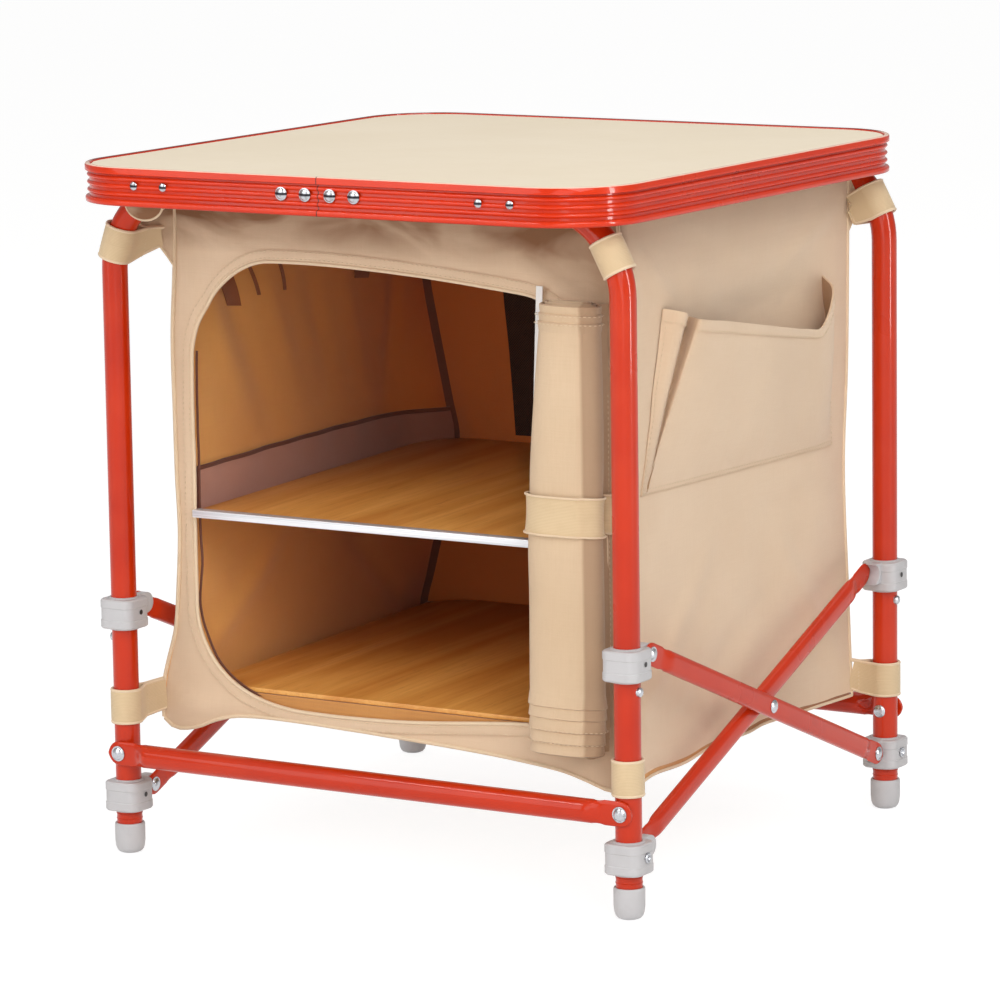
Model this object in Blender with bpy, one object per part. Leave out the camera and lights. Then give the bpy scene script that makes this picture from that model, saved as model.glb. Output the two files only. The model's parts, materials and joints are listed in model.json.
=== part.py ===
"""Camping cupboard: two bent tube leg frames joined by scissor braces, a lift-off top held in
a ribbed rim, and a hanging fabric cupboard with two boards, a side pocket and a roll-up door.

Metres, +Z up, front towards -Y, origin on the floor under the middle of the top."""

import math

import bmesh
import bpy
from mathutils import Matrix, Vector

# Clearances
GAP = 0.0003
PIVOT_CLEARANCE = 0.00025
SLIDE_CLEARANCE = 0.0003

# Top and its rim
TOP_HEIGHT = 0.600
TOP_WIDTH = 0.528
TOP_DEPTH = 0.551
RIM_HEIGHT = 0.0323
RIM_CORNER_RADIUS = 0.068
RIM_TOP_BAND = 0.0068
RIM_BEAD = 0.0036
RIM_RIDGE_DEPTH = 0.0016
RIM_RIDGES = 3
RIM_WALL = 0.0016
RIM_LEDGE_WIDTH = 0.011
RIM_LEDGE_THICKNESS = 0.0015
RIM_LIP = 0.0013
RIM_SEAM = 0.0008
BOARD_THICKNESS = 0.006

# Rivets through the rim, at one height
RIM_RIVET_DROP = 0.0151
SPLICE_RIVETS_X = (-0.0351, -0.0120, 0.0120, 0.0351)
SPLICE_RIVET_HEAD = 0.0044
SPLICE_LENGTH = 0.096
SPLICE_THICKNESS = 0.002
CLIP_SIDE_INSET = 0.0965
CLIP_RIVET_PITCH = 0.0293
CLIP_RIVET_HEAD = 0.0033
CLIP_LENGTH = 0.044
CLIP_DEPTH_BELOW_AXIS = 0.004
CLIP_WALL_PLATE = 0.003
CLIP_SADDLE_WALL = 0.002
SADDLE_CLEARANCE = 0.0005
SADDLE_START = 0.0035
RIM_RIVET_RADIUS = 0.002
RIM_RIVET_HEAD_HEIGHT = 0.0012

# Leg frames, with each tube's axis set in from the edges of the top
FRONT_FRAME_INSET = 0.0642
BACK_FRAME_INSET = 0.0322
SIDE_FRAME_INSET = 0.0153
TUBE_DIAMETER = 0.022
TUBE_WALL = 0.0015
BEND_RADIUS = 0.073
RUN_CLEARANCE = 0.0012

# Feet
CAP_DIAMETER = 0.0262
CAP_HEIGHT = 0.0261
CAP_FLOOR = 0.006
CAP_CHAMFER = 0.004

# Crossbars low between the legs, riveted to the outer side of each frame
CROSSBAR_HEIGHT = 0.0887
CROSSBAR_DIAMETER = 0.0195
FLAT_THICKNESS = 0.003
FLAT_TIP_RADIUS = 0.0105
FLAT_LENGTH = 0.015
FLAT_TRANSITION = 0.018
CROSSBAR_RIVET_RADIUS = 0.0026
CROSSBAR_RIVET_HEAD = 0.0056
RIVET_HEAD_HEIGHT = 0.0024

# Collars on the legs, with a lug that carries a brace
COLLAR_WIDTH = 0.034
COLLAR_HEIGHT = 0.026
COLLAR_CORNER = 0.009
LOWER_COLLAR_HEIGHT = 0.0506
UPPER_COLLAR_HEIGHT = 0.2100
LUG_REACH = 0.0283
LUG_RADIUS = 0.009
LUG_THICKNESS = 0.009
PIVOT_RISE = 0.004
PIN_RADIUS = 0.003
PIN_HEAD_RADIUS = 0.0050
PIN_HEAD_HEIGHT = 0.0020

# Scissor braces
BRACE_HEIGHT = 0.018
BRACE_THICKNESS = 0.010
BRACE_TIP_RADIUS = 0.0095
BRACE_RIVET_RADIUS = 0.003
BRACE_RIVET_HEAD = 0.0058

# Sprung stop buttons under the upper collars
BUTTON_COLLAR_CLEARANCE = 0.005
BUTTON_RADIUS = 0.004
BUTTON_CLEARANCE = 0.0004
BUTTON_STAND = 0.003
BUTTON_LEAF_WIDTH = 0.007
BUTTON_LEAF_THICKNESS = 0.0008
BUTTON_LEAF_DROP = 0.034
BUTTON_LEAF_RISE = 0.009

# Fabric cupboard, which hangs between the legs under the rim
BAG_LEG_CLEARANCE = 0.0187
BAG_FRONT_SETBACK = 0.0463
BAG_BACK_SETBACK = 0.0123
BAG_TOP_CLEARANCE = 0.0027
BAG_BOTTOM = 0.100
FABRIC = 0.0025
MOUTH_SIDE = 0.014
MOUTH_SILL = 0.034
MOUTH_HEAD = 0.055
MOUTH_RADIUS = 0.080

# Boards, their fabric slings and the floor, which rise a little towards the back
SHELF_SLOPE = math.radians(1.6)
MID_SHELF_TOP = 0.2948
BOTTOM_SHELF_RISE = 0.010
SHELF_THICKNESS = 0.004
SHELF_MOUTH_MARGIN = 0.0015
MID_SHELF_PROUD = 0.006
SHELF_FRONT_MARGIN = 0.0025
SHELF_BACK_MARGIN = 0.003
SHELF_CORNER_RADIUS = 0.045
EDGE_WALL = 0.0010
EDGE_DEPTH = 0.009
SLING_THICKNESS = 0.0015
SLING_RISE = 0.036
SLING_LIP = 0.030
SLING_SETBACK = 0.012
FLOOR_MARGIN = 0.0008

# Rolled door, tied at the right of the mouth
ROLL_SIDE_MARGIN = 0.0055
ROLL_WIDTH = 0.073
ROLL_THICKNESS = 0.025
ROLL_CLEARANCE = 0.0025
ROLL_BOTTOM = 0.125
ROLL_HEAD = 0.0145
ROLL_WAIST = 0.94
DOOR_FLAP_INSET = 0.0045
TIE_BOTTOM = 0.307
TIE_HEIGHT = 0.032
TIE_THICKNESS = 0.0015

# Pocket on the right wall: how far each corner lies in from the bag's front or back, and its height
POCKET_BOTTOM_FRONT = (0.031, 0.333)
POCKET_BOTTOM_BACK = (0.037, 0.326)
POCKET_TOP_FRONT = (0.065, 0.484)
POCKET_TOP_BACK = (0.045, 0.434)
POCKET_BULGE = 0.022
POCKET_FABRIC = 0.0018

# Webbing straps from the bag's corners round the legs
STRAP_WIDTH = 0.029
STRAP_THICKNESS = 0.002
LOWER_STRAP_HEIGHTS = {"left": 0.129, "right": 0.117}
UPPER_STRAP_DROPS = {"left": 0.071, "right": 0.060}
STRAP_END_GAP = 0.0005

# Facets
TUBE_SIDES = 16
BEND_STEPS = 7
RIM_CORNER_STEPS = 6
SMALL_SIDES = 10
SMOOTH_ANGLE = math.radians(35)

# Values that follow from the sizes above
TUBE_RADIUS = TUBE_DIAMETER / 2
LEG_SPACING_X = TOP_WIDTH - 2 * SIDE_FRAME_INSET
LEG_SPACING_Y = TOP_DEPTH - FRONT_FRAME_INSET - BACK_FRAME_INSET
FRAME_SETBACK = (FRONT_FRAME_INSET - BACK_FRAME_INSET) / 2
LEG_X = LEG_SPACING_X / 2
HALF_TOP_X = TOP_WIDTH / 2
HALF_TOP_Y = TOP_DEPTH / 2
CLIP_CENTRE_X = HALF_TOP_X - CLIP_SIDE_INSET
RIM_INSET = RIM_BEAD + RIM_WALL
BOARD_TOP = TOP_HEIGHT - RIM_LIP
BOARD_UNDERSIDE = BOARD_TOP - BOARD_THICKNESS
LEDGE_UNDERSIDE = BOARD_UNDERSIDE - GAP - RIM_LEDGE_THICKNESS
RUN_HEIGHT = LEDGE_UNDERSIDE - RUN_CLEARANCE - TUBE_RADIUS
BEND_START = RUN_HEIGHT - BEND_RADIUS
TUBE_BOTTOM = CAP_FLOOR + GAP
RIM_RIVET_HEIGHT = TOP_HEIGHT - RIM_RIVET_DROP
RIM_RIDGE_PITCH = (RIM_HEIGHT - RIM_TOP_BAND) / (RIM_RIDGES + 1)
PIVOT_SPACING = LEG_SPACING_Y - 2 * LUG_REACH
LOWER_PIVOT_Z = LOWER_COLLAR_HEIGHT + PIVOT_RISE
UPPER_PIVOT_Z = UPPER_COLLAR_HEIGHT + PIVOT_RISE
BRACE_LENGTH = math.hypot(PIVOT_SPACING, UPPER_PIVOT_Z - LOWER_PIVOT_Z)
BRACE_SLOPE = math.atan2(UPPER_PIVOT_Z - LOWER_PIVOT_Z, PIVOT_SPACING)
BRACE_OFFSET = LUG_THICKNESS / 2 + GAP + FLAT_THICKNESS / 2
CENTRE_PIVOT_Z = (LOWER_PIVOT_Z + UPPER_PIVOT_Z) / 2
BUTTON_HEIGHT = UPPER_COLLAR_HEIGHT - COLLAR_HEIGHT / 2 - BUTTON_COLLAR_CLEARANCE - BUTTON_RADIUS
HALF_BAG = LEG_X - TUBE_RADIUS - BAG_LEG_CLEARANCE
BAG_FRONT = FRAME_SETBACK - LEG_SPACING_Y / 2 + BAG_FRONT_SETBACK
BAG_BACK = FRAME_SETBACK + LEG_SPACING_Y / 2 - BAG_BACK_SETBACK
BAG_TOP = TOP_HEIGHT - RIM_HEIGHT - BAG_TOP_CLEARANCE
HALF_MOUTH = HALF_BAG - MOUTH_SIDE
MOUTH_BOTTOM = BAG_BOTTOM + MOUTH_SILL
MOUTH_TOP = BAG_TOP - MOUTH_HEAD
WALL_INSIDE = HALF_BAG - FABRIC
SHELF_BACK = BAG_BACK - FABRIC - SHELF_BACK_MARGIN
MID_SHELF_FRONT = BAG_FRONT - MID_SHELF_PROUD
BOTTOM_SHELF_FRONT = BAG_FRONT + FABRIC + SHELF_FRONT_MARGIN
BOTTOM_SHELF_TOP = MOUTH_BOTTOM + BOTTOM_SHELF_RISE
HALF_SHELF = HALF_MOUTH - SHELF_MOUTH_MARGIN
ROLL_TOP = MOUTH_TOP - ROLL_HEAD
ROLL_CENTRE_X = HALF_BAG - ROLL_SIDE_MARGIN - ROLL_WIDTH / 2
ROLL_CENTRE_Y = MID_SHELF_FRONT - ROLL_CLEARANCE - ROLL_THICKNESS / 2
CROSSBAR_OFFSET = TUBE_RADIUS + GAP + FLAT_THICKNESS / 2

ENDS = (("front", -1), ("back", 1))
SIDES = (("left", -1), ("right", 1))


def leg_y(end):
    """Y of a leg frame's plane, for the front (-1) or the back (1)."""
    return FRAME_SETBACK + end * LEG_SPACING_Y / 2


def pivot_y(end):
    return FRAME_SETBACK + end * PIVOT_SPACING / 2


def clear_scene():
    for obj in list(bpy.data.objects):
        bpy.data.objects.remove(obj)


def make_material(name, colour, roughness, metallic=0.0):
    material = bpy.data.materials.new(name)
    material.use_nodes = True
    shader = material.node_tree.nodes["Principled BSDF"]
    shader.inputs["Base Color"].default_value = (*colour, 1.0)
    shader.inputs["Roughness"].default_value = roughness
    shader.inputs["Metallic"].default_value = metallic
    return material


def make_materials():
    """One Principled material for each finish."""
    finishes = {
        "board_laminate": ((0.85, 0.77, 0.61), 0.45, 0.0),
        "red_coat": ((0.68, 0.06, 0.02), 0.35, 0.0),
        "grey_plastic": ((0.62, 0.61, 0.61), 0.5, 0.0),
        "bright_steel": ((0.75, 0.75, 0.76), 0.25, 1.0),
        "bag_fabric": ((0.68, 0.50, 0.34), 0.85, 0.0),
        "webbing": ((0.75, 0.57, 0.36), 0.8, 0.0),
        "brown_lining": ((0.35, 0.20, 0.15), 0.8, 0.0),
        "shelf_wood": ((0.50, 0.24, 0.05), 0.4, 0.0),
        "edge_trim": ((0.80, 0.80, 0.80), 0.35, 0.0),
    }
    return {name: make_material(name, *values) for name, values in finishes.items()}


def make_body(name, location, parent=None):
    """An empty on a joint's axis, which carries the pieces of one moving body."""
    empty = bpy.data.objects.new(f"{name}_axis", None)
    empty.empty_display_size = 0.03
    empty.location = Vector(location)
    if parent:
        empty.parent = parent
        empty.location -= world_location(parent)
    bpy.context.scene.collection.objects.link(empty)
    return empty


def world_location(obj):
    location = obj.location.copy()
    while obj.parent:
        obj = obj.parent
        location += obj.location
    return location


def add_object(name, bm, body, material=None):
    """The bmesh, given in world coordinates, as an object with its origin on its body's axis."""
    bmesh.ops.remove_doubles(bm, verts=bm.verts, dist=1e-6)
    bmesh.ops.recalc_face_normals(bm, faces=bm.faces)
    bmesh.ops.translate(bm, verts=bm.verts, vec=-world_location(body))
    mesh = bpy.data.meshes.new(name)
    bm.to_mesh(mesh)
    bm.free()
    obj = bpy.data.objects.new(name, mesh)
    obj.parent = body
    bpy.context.scene.collection.objects.link(obj)
    if material:
        mesh.materials.append(material)
        mesh.shade_smooth()
        mesh.set_sharp_from_angle(angle=SMOOTH_ANGLE)
    return obj


def combine(obj, bm, operation):
    """Cuts the bmesh from the object, or joins it on, with a live Boolean and a hidden helper."""
    helper = add_object(f"{obj.name}_{operation.lower()}", bm, obj.parent)
    helper.hide_render = True
    helper.display_type = "WIRE"
    modifier = obj.modifiers.new(operation.capitalize(), "BOOLEAN")
    modifier.operation = operation
    modifier.solver = "EXACT"
    modifier.object = helper


def arc(centre, radius, start, end, steps):
    """Points on an arc, from a start angle to an end angle in degrees."""
    angles = [math.radians(start + (end - start) * i / steps) for i in range(steps + 1)]
    return [(centre[0] + radius * math.cos(a), centre[1] + radius * math.sin(a)) for a in angles]


def rounded_rectangle(low, high, radii, steps):
    """Outline from corner low to corner high; radii go anticlockwise from the top right."""
    right, top, left, bottom = high[0], high[1], low[0], low[1]
    corners = ((right, top, -1, -1), (left, top, 1, -1), (left, bottom, 1, 1), (right, bottom, -1, 1))
    outline = []
    for turn, ((x, y, inward_x, inward_y), radius) in enumerate(zip(corners, radii)):
        centre = (x + inward_x * radius, y + inward_y * radius)
        outline += arc(centre, radius, 90 * turn, 90 * turn + 90, steps)
    return outline


def superellipse(centre, half_x, half_y, power, sides):
    """A closed oval outline, boxier as the power falls below one."""
    outline = []
    for i in range(sides):
        angle = 2 * math.pi * i / sides
        across = math.copysign(abs(math.cos(angle)) ** power, math.cos(angle))
        up = math.copysign(abs(math.sin(angle)) ** power, math.sin(angle))
        outline.append((centre[0] + half_x * across, centre[1] + half_y * up))
    return outline


def point_on(axis, flat, along):
    """World point from two coordinates in a plane and one along the axis square to it."""
    order = {"X": (along, *flat), "Y": (flat[0], along, flat[1]), "Z": (*flat, along)}
    return Vector(order[axis])


def prism(bm, outline, axis, low, high):
    """Extrude a flat outline along an axis."""
    face = bm.faces.new([bm.verts.new(point_on(axis, point, low)) for point in outline])
    extrude_face(bm, face, point_on(axis, (0, 0), high - low))


def extrude_face(bm, face, vector):
    made = bmesh.ops.extrude_face_region(bm, geom=[face])["geom"]
    verts = [item for item in made if isinstance(item, bmesh.types.BMVert)]
    bmesh.ops.translate(bm, verts=verts, vec=vector)
    return next(item for item in made if isinstance(item, bmesh.types.BMFace))


def loft(bm, sections):
    """Skin closed sections of equal count in order, and cap both ends."""
    rings = [[bm.verts.new(point) for point in section] for section in sections]
    for first, second in zip(rings, rings[1:]):
        for i in range(len(first)):
            bm.faces.new((first[i - 1], first[i], second[i], second[i - 1]))
    bm.faces.new(rings[0])
    bm.faces.new(rings[-1])


def align(start, direction):
    """Matrix that carries the local Z axis onto a line from start."""
    turn = Vector(direction).to_track_quat("Z", "Y").to_matrix().to_4x4()
    return Matrix.Translation(Vector(start)) @ turn


def turned(bm, profile, start, direction, sides=SMALL_SIDES):
    """A solid of revolution from (radius, height) points, whose ends lie on its axis."""
    matrix = align(start, direction)
    verts = [bm.verts.new(matrix @ Vector((radius, 0, height))) for radius, height in profile]
    edges = [bm.edges.new(pair) for pair in zip(verts, verts[1:])]
    bmesh.ops.spin(
        bm,
        geom=verts + edges,
        cent=matrix.translation,
        axis=matrix.to_3x3() @ Vector((0, 0, 1)),
        angle=2 * math.pi,
        steps=sides,
        use_merge=True,
    )
    bmesh.ops.remove_doubles(bm, verts=bm.verts, dist=1e-6)


def cylinder(bm, radius, start, end, sides=SMALL_SIDES):
    length = (Vector(end) - Vector(start)).length
    profile = ((0, 0), (radius, 0), (radius, length), (0, length))
    turned(bm, profile, start, Vector(end) - Vector(start), sides)


def rivet(bm, start, direction, length, shank, head, head_height, far_head=True):
    """A shank of the given length from start, with a domed head beyond one or both ends."""
    near = [(0, -head_height), (head * 0.55, -head_height), (head, -head_height * 0.35), (head, 0)]
    far = [(radius, length - height) for radius, height in reversed(near)]
    end = far if far_head else [(0, length)]
    turned(bm, [*near, (shank, 0), (shank, length), *end], start, direction)


def ring_edges(verts):
    found = {edge for vert in verts for edge in vert.link_edges if edge.other_vert(vert) in verts}
    return sorted(found, key=lambda edge: edge.index)


def push_ring(bm, verts, vector):
    """Extrude an open ring of the tube straight on, and return its far ring."""
    bm.edges.index_update()
    made = bmesh.ops.extrude_edge_only(bm, edges=ring_edges(verts))["geom"]
    far = {item for item in made if isinstance(item, bmesh.types.BMVert)}
    bmesh.ops.translate(bm, verts=list(far), vec=vector)
    return far


def bend_ring(bm, verts, centre, angle):
    """Carry an open ring of the tube round a bend in the XZ plane."""
    bm.edges.index_update()
    last = bmesh.ops.spin(
        bm,
        geom=[*verts, *ring_edges(verts)],
        cent=centre,
        axis=(0, 1, 0),
        angle=angle,
        steps=BEND_STEPS,
    )["geom_last"]
    return {item for item in last if isinstance(item, bmesh.types.BMVert)}


def leg_frame(name, y, outward, body, materials):
    """One bent tube: up the left leg, across under the top, and down the right leg."""
    bm = bmesh.new()
    ring = bmesh.ops.create_circle(
        bm,
        segments=TUBE_SIDES,
        radius=TUBE_RADIUS,
        matrix=Matrix.Translation((-LEG_X, y, TUBE_BOTTOM)),
    )["verts"]
    rise = Vector((0, 0, BEND_START - TUBE_BOTTOM))
    run = Vector((LEG_SPACING_X - 2 * BEND_RADIUS, 0, 0))
    ring = push_ring(bm, set(ring), rise)
    ring = bend_ring(bm, ring, (-LEG_X + BEND_RADIUS, y, BEND_START), math.pi / 2)
    ring = push_ring(bm, ring, run)
    ring = bend_ring(bm, ring, (LEG_X - BEND_RADIUS, y, BEND_START), math.pi / 2)
    push_ring(bm, ring, -rise)
    frame = add_object(name, bm, body, materials["red_coat"])
    wall = frame.modifiers.new("Wall", "SOLIDIFY")
    wall.thickness = TUBE_WALL
    wall.offset = -1
    holes = bmesh.new()
    for _, side in SIDES:
        through = Vector((0, outward * 2 * TUBE_RADIUS, 0))
        middle = Vector((side * LEG_X, y, CROSSBAR_HEIGHT))
        cylinder(holes, CROSSBAR_RIVET_RADIUS + GAP, middle - through, middle + through)
        start = Vector((side * LEG_X, y, BUTTON_HEIGHT))
        outside = start + Vector((side * 2 * TUBE_RADIUS, 0, 0))
        cylinder(holes, BUTTON_RADIUS + BUTTON_CLEARANCE, start, outside)
    combine(frame, holes, "DIFFERENCE")


def foot_cap(name, x, y, body, materials):
    outer = CAP_DIAMETER / 2
    bore = TUBE_RADIUS + GAP
    bm = bmesh.new()
    profile = (
        (0, 0),
        (outer - CAP_CHAMFER, 0),
        (outer - CAP_CHAMFER / 3, CAP_CHAMFER / 3),
        (outer, CAP_CHAMFER),
        (outer, CAP_HEIGHT - (outer - bore) / 2),
        (outer - (outer - bore) / 2, CAP_HEIGHT),
        (bore, CAP_HEIGHT),
        (bore, CAP_FLOOR),
        (0, CAP_FLOOR),
    )
    turned(bm, profile, (x, y, 0), (0, 0, 1), TUBE_SIDES)
    add_object(name, bm, body, materials["grey_plastic"])


def flattened_bar(bm, matrix, length, body_height, body_thickness, tip_radius):
    """A bar along local Z between two rivet holes: oval in the middle, flat and round at its tips.

    Local X is its height and local Y its thickness."""
    half = length / 2
    flat = FLAT_THICKNESS / 2
    tip = [
        (half + tip_radius * math.cos(angle), tip_radius * math.sin(angle), flat)
        for angle in (math.radians(a) for a in (12, 32, 58, 90))
    ]
    neck = [(half - FLAT_LENGTH, tip_radius, flat)]
    shoulder = [(half - FLAT_LENGTH - FLAT_TRANSITION, body_height / 2, body_thickness / 2)]
    stations = tip + neck + shoulder
    stations += [(-along, height, thick) for along, height, thick in reversed(stations)]
    sections = []
    for along, height, thick in stations:
        outline = superellipse((0, 0), height, thick, 0.75, 12)
        sections.append([matrix @ Vector((across, up, along)) for across, up in outline])
    loft(bm, sections)


def crossbar(name, y, outward, body, materials):
    centre_y = y + outward * CROSSBAR_OFFSET
    axes = Matrix(((0, 0, 1), (0, 1, 0), (1, 0, 0))).to_4x4()
    bm = bmesh.new()
    matrix = Matrix.Translation((0, centre_y, CROSSBAR_HEIGHT)) @ axes
    flattened_bar(bm, matrix, LEG_SPACING_X, CROSSBAR_DIAMETER, CROSSBAR_DIAMETER, FLAT_TIP_RADIUS)
    bar = add_object(name, bm, body, materials["red_coat"])
    holes = bmesh.new()
    for _, side in SIDES:
        middle = Vector((side * LEG_X, centre_y, CROSSBAR_HEIGHT))
        reach = Vector((0, FLAT_THICKNESS * 2, 0))
        cylinder(holes, CROSSBAR_RIVET_RADIUS + GAP, middle - reach, middle + reach)
    combine(bar, holes, "DIFFERENCE")


def crossbar_rivet(name, x, y, outward, body, materials):
    """Passes through the bar's flat end and both walls of the leg."""
    outside = CROSSBAR_OFFSET + FLAT_THICKNESS / 2 + GAP
    inside = TUBE_RADIUS + GAP
    bm = bmesh.new()
    start = (x, y + outward * outside, CROSSBAR_HEIGHT)
    rivet(bm, start, (0, -outward, 0), outside + inside, CROSSBAR_RIVET_RADIUS, CROSSBAR_RIVET_HEAD,
          RIVET_HEAD_HEIGHT)
    add_object(name, bm, body, materials["bright_steel"])


def collar(name, x, y, z, pin_side, body, materials):
    """A collar round a leg, with a lug towards the other frame and a pin for one brace."""
    toward = -math.copysign(1, y)
    half = COLLAR_WIDTH / 2
    bm = bmesh.new()
    cube = bmesh.ops.create_cube(bm, size=1)["verts"]
    bmesh.ops.scale(bm, vec=(COLLAR_WIDTH, COLLAR_WIDTH, COLLAR_HEIGHT), verts=cube)
    upright = [edge for edge in bm.edges if abs(edge.verts[0].co.z - edge.verts[1].co.z) > half]
    bmesh.ops.bevel(
        bm, geom=upright, offset=COLLAR_CORNER, segments=2, profile=0.5, affect="EDGES", material=-1
    )
    bmesh.ops.translate(bm, verts=bm.verts, vec=(x, y, z))
    ring = add_object(name, bm, body, materials["grey_plastic"])

    pivot = (y + toward * LUG_REACH, z + PIVOT_RISE)
    root_y = y + toward * (half - COLLAR_CORNER / 2)
    lug = bmesh.new()
    start = -90 if toward > 0 else 90
    outline = arc(pivot, LUG_RADIUS, start, start + 180, 8)
    outline += [(root_y, outline[-1][1]), (root_y, outline[0][1])]
    prism(lug, outline, "X", x - LUG_THICKNESS / 2, x + LUG_THICKNESS / 2)
    combine(ring, lug, "UNION")

    pin = bmesh.new()
    face = LUG_THICKNESS / 2 + 2 * GAP + FLAT_THICKNESS
    start = (x + pin_side * face, *pivot)
    length = 2 * GAP + FLAT_THICKNESS + LUG_THICKNESS / 2
    rivet(pin, start, (-pin_side, 0, 0), length, PIN_RADIUS, PIN_HEAD_RADIUS, PIN_HEAD_HEIGHT, False)
    combine(ring, pin, "UNION")

    bore = bmesh.new()
    cylinder(bore, TUBE_RADIUS + SLIDE_CLEARANCE, (x, y, z - COLLAR_HEIGHT), (x, y, z + COLLAR_HEIGHT), TUBE_SIDES)
    combine(ring, bore, "DIFFERENCE")


def brace(name, x, offset, slope, body, materials):
    """A flattened oval tube; a positive slope rises towards the back."""
    centre = Vector((x + offset, FRAME_SETBACK, CENTRE_PIVOT_Z))
    along = Vector((0, math.cos(slope), math.sin(slope)))
    upward = Vector((0, -math.sin(slope), math.cos(slope)))
    matrix = Matrix.Translation(centre) @ Matrix((upward, (1, 0, 0), along)).transposed().to_4x4()
    bm = bmesh.new()
    flattened_bar(bm, matrix, BRACE_LENGTH, BRACE_HEIGHT, BRACE_THICKNESS, BRACE_TIP_RADIUS)
    bar = add_object(name, bm, body, materials["red_coat"])
    holes = bmesh.new()
    for share, radius in ((-0.5, PIN_RADIUS), (0, BRACE_RIVET_RADIUS), (0.5, PIN_RADIUS)):
        middle = centre + along * BRACE_LENGTH * share
        reach = Vector((BRACE_THICKNESS, 0, 0))
        cylinder(holes, radius + PIVOT_CLEARANCE, middle - reach, middle + reach)
    combine(bar, holes, "DIFFERENCE")


def brace_rivet(name, x, body, materials):
    """Pins the two braces of one side together where they cross."""
    half = BRACE_OFFSET + BRACE_THICKNESS / 2 + GAP
    bm = bmesh.new()
    start = (x - half, FRAME_SETBACK, CENTRE_PIVOT_Z)
    rivet(bm, start, (1, 0, 0), 2 * half, BRACE_RIVET_RADIUS, BRACE_RIVET_HEAD, RIVET_HEAD_HEIGHT)
    add_object(name, bm, body, materials["bright_steel"])


def snap_button(name, x, y, side, body, materials):
    """A domed button on a spring leaf inside the leg."""
    bore = TUBE_RADIUS - TUBE_WALL
    leaf_face = math.sqrt(bore**2 - (BUTTON_LEAF_WIDTH / 2) ** 2) - GAP
    low = (y - BUTTON_LEAF_WIDTH / 2, BUTTON_HEIGHT - BUTTON_LEAF_DROP)
    high = (y + BUTTON_LEAF_WIDTH / 2, BUTTON_HEIGHT + BUTTON_LEAF_RISE)
    leaf = bmesh.new()
    outline = [low, (high[0], low[1]), high, (low[0], high[1])]
    prism(leaf, outline, "X", x + side * (leaf_face - BUTTON_LEAF_THICKNESS), x + side * leaf_face)
    strip = add_object(name, leaf, body, materials["bright_steel"])
    dome = bmesh.new()
    length = TUBE_RADIUS + BUTTON_STAND - leaf_face + BUTTON_LEAF_THICKNESS / 2
    profile = (
        (0, 0),
        (BUTTON_RADIUS, 0),
        (BUTTON_RADIUS, length * 0.65),
        (BUTTON_RADIUS * 0.75, length * 0.9),
        (0, length),
    )
    start = (x + side * (leaf_face - BUTTON_LEAF_THICKNESS / 2), y, BUTTON_HEIGHT)
    turned(dome, profile, start, (side, 0, 0))
    combine(strip, dome, "UNION")


def rim_profile():
    """Outline of the ribbed rim as (inset from its outermost face, height) points."""
    outline = [(RIM_LIP / 2, TOP_HEIGHT), (0, TOP_HEIGHT - RIM_LIP / 2)]
    height = TOP_HEIGHT - RIM_TOP_BAND
    outline += [(0, height + RIM_RIDGE_DEPTH / 4), (RIM_BEAD, height)]
    for depth in [RIM_RIDGE_DEPTH] * RIM_RIDGES + [0]:
        groove = RIM_RIDGE_PITCH * 0.1
        outline.append((RIM_BEAD, height - groove))
        outline.append((depth, height - 2.5 * groove))
        height -= RIM_RIDGE_PITCH
        if depth:
            outline += [(depth, height + 1.5 * groove), (RIM_BEAD, height)]
    outline.append((0, height))
    outline += [
        (RIM_INSET, height),
        (RIM_INSET, LEDGE_UNDERSIDE),
        (RIM_INSET + RIM_LEDGE_WIDTH, LEDGE_UNDERSIDE),
        (RIM_INSET + RIM_LEDGE_WIDTH, LEDGE_UNDERSIDE + RIM_LEDGE_THICKNESS),
        (RIM_INSET, LEDGE_UNDERSIDE + RIM_LEDGE_THICKNESS),
        (RIM_INSET, TOP_HEIGHT),
    ]
    return outline


def rim_stations():
    """Places on the rim's outermost line with outward directions, from the seam round to it."""
    corner_x = HALF_TOP_X - RIM_CORNER_RADIUS
    corner_y = HALF_TOP_Y - RIM_CORNER_RADIUS
    stations = [((RIM_SEAM / 2, -HALF_TOP_Y), (0, -1))]
    for turn, (x, y) in enumerate(((1, -1), (1, 1), (-1, 1), (-1, -1))):
        for out_x, out_y in arc((0, 0), 1, 90 * turn - 90, 90 * turn, RIM_CORNER_STEPS):
            place_x = x * corner_x + out_x * RIM_CORNER_RADIUS
            place_y = y * corner_y + out_y * RIM_CORNER_RADIUS
            stations.append(((place_x, place_y), (out_x, out_y)))
    return stations + [((-RIM_SEAM / 2, -HALF_TOP_Y), (0, -1))]


def table_rim(body, materials):
    """The rim profile carried round the top, from one side of the front seam to the other."""
    sections = []
    for (x, y), (out_x, out_y) in rim_stations():
        section = [(x - inset * out_x, y - inset * out_y, height) for inset, height in rim_profile()]
        sections.append(section)
    bm = bmesh.new()
    loft(bm, sections)
    rim = add_object("table_rim", bm, body, materials["red_coat"])
    holes = bmesh.new()
    for x, end in rim_rivet_places():
        outside = (x, end * (HALF_TOP_Y + RIM_BEAD), RIM_RIVET_HEIGHT)
        inside = (x, end * (HALF_TOP_Y - 2 * RIM_INSET), RIM_RIVET_HEIGHT)
        cylinder(holes, RIM_RIVET_RADIUS + GAP, outside, inside, 8)
    combine(rim, holes, "DIFFERENCE")


def clip_rivets_x(side):
    return [side * CLIP_CENTRE_X + step * CLIP_RIVET_PITCH / 2 for step in (-1, 1)]


def rim_rivet_places():
    """X and end (front -1, back 1) of each rivet through the rim."""
    places = [(x, -1) for x in SPLICE_RIVETS_X]
    return places + [(x, end) for _, end in ENDS for _, side in SIDES for x in clip_rivets_x(side)]


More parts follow.
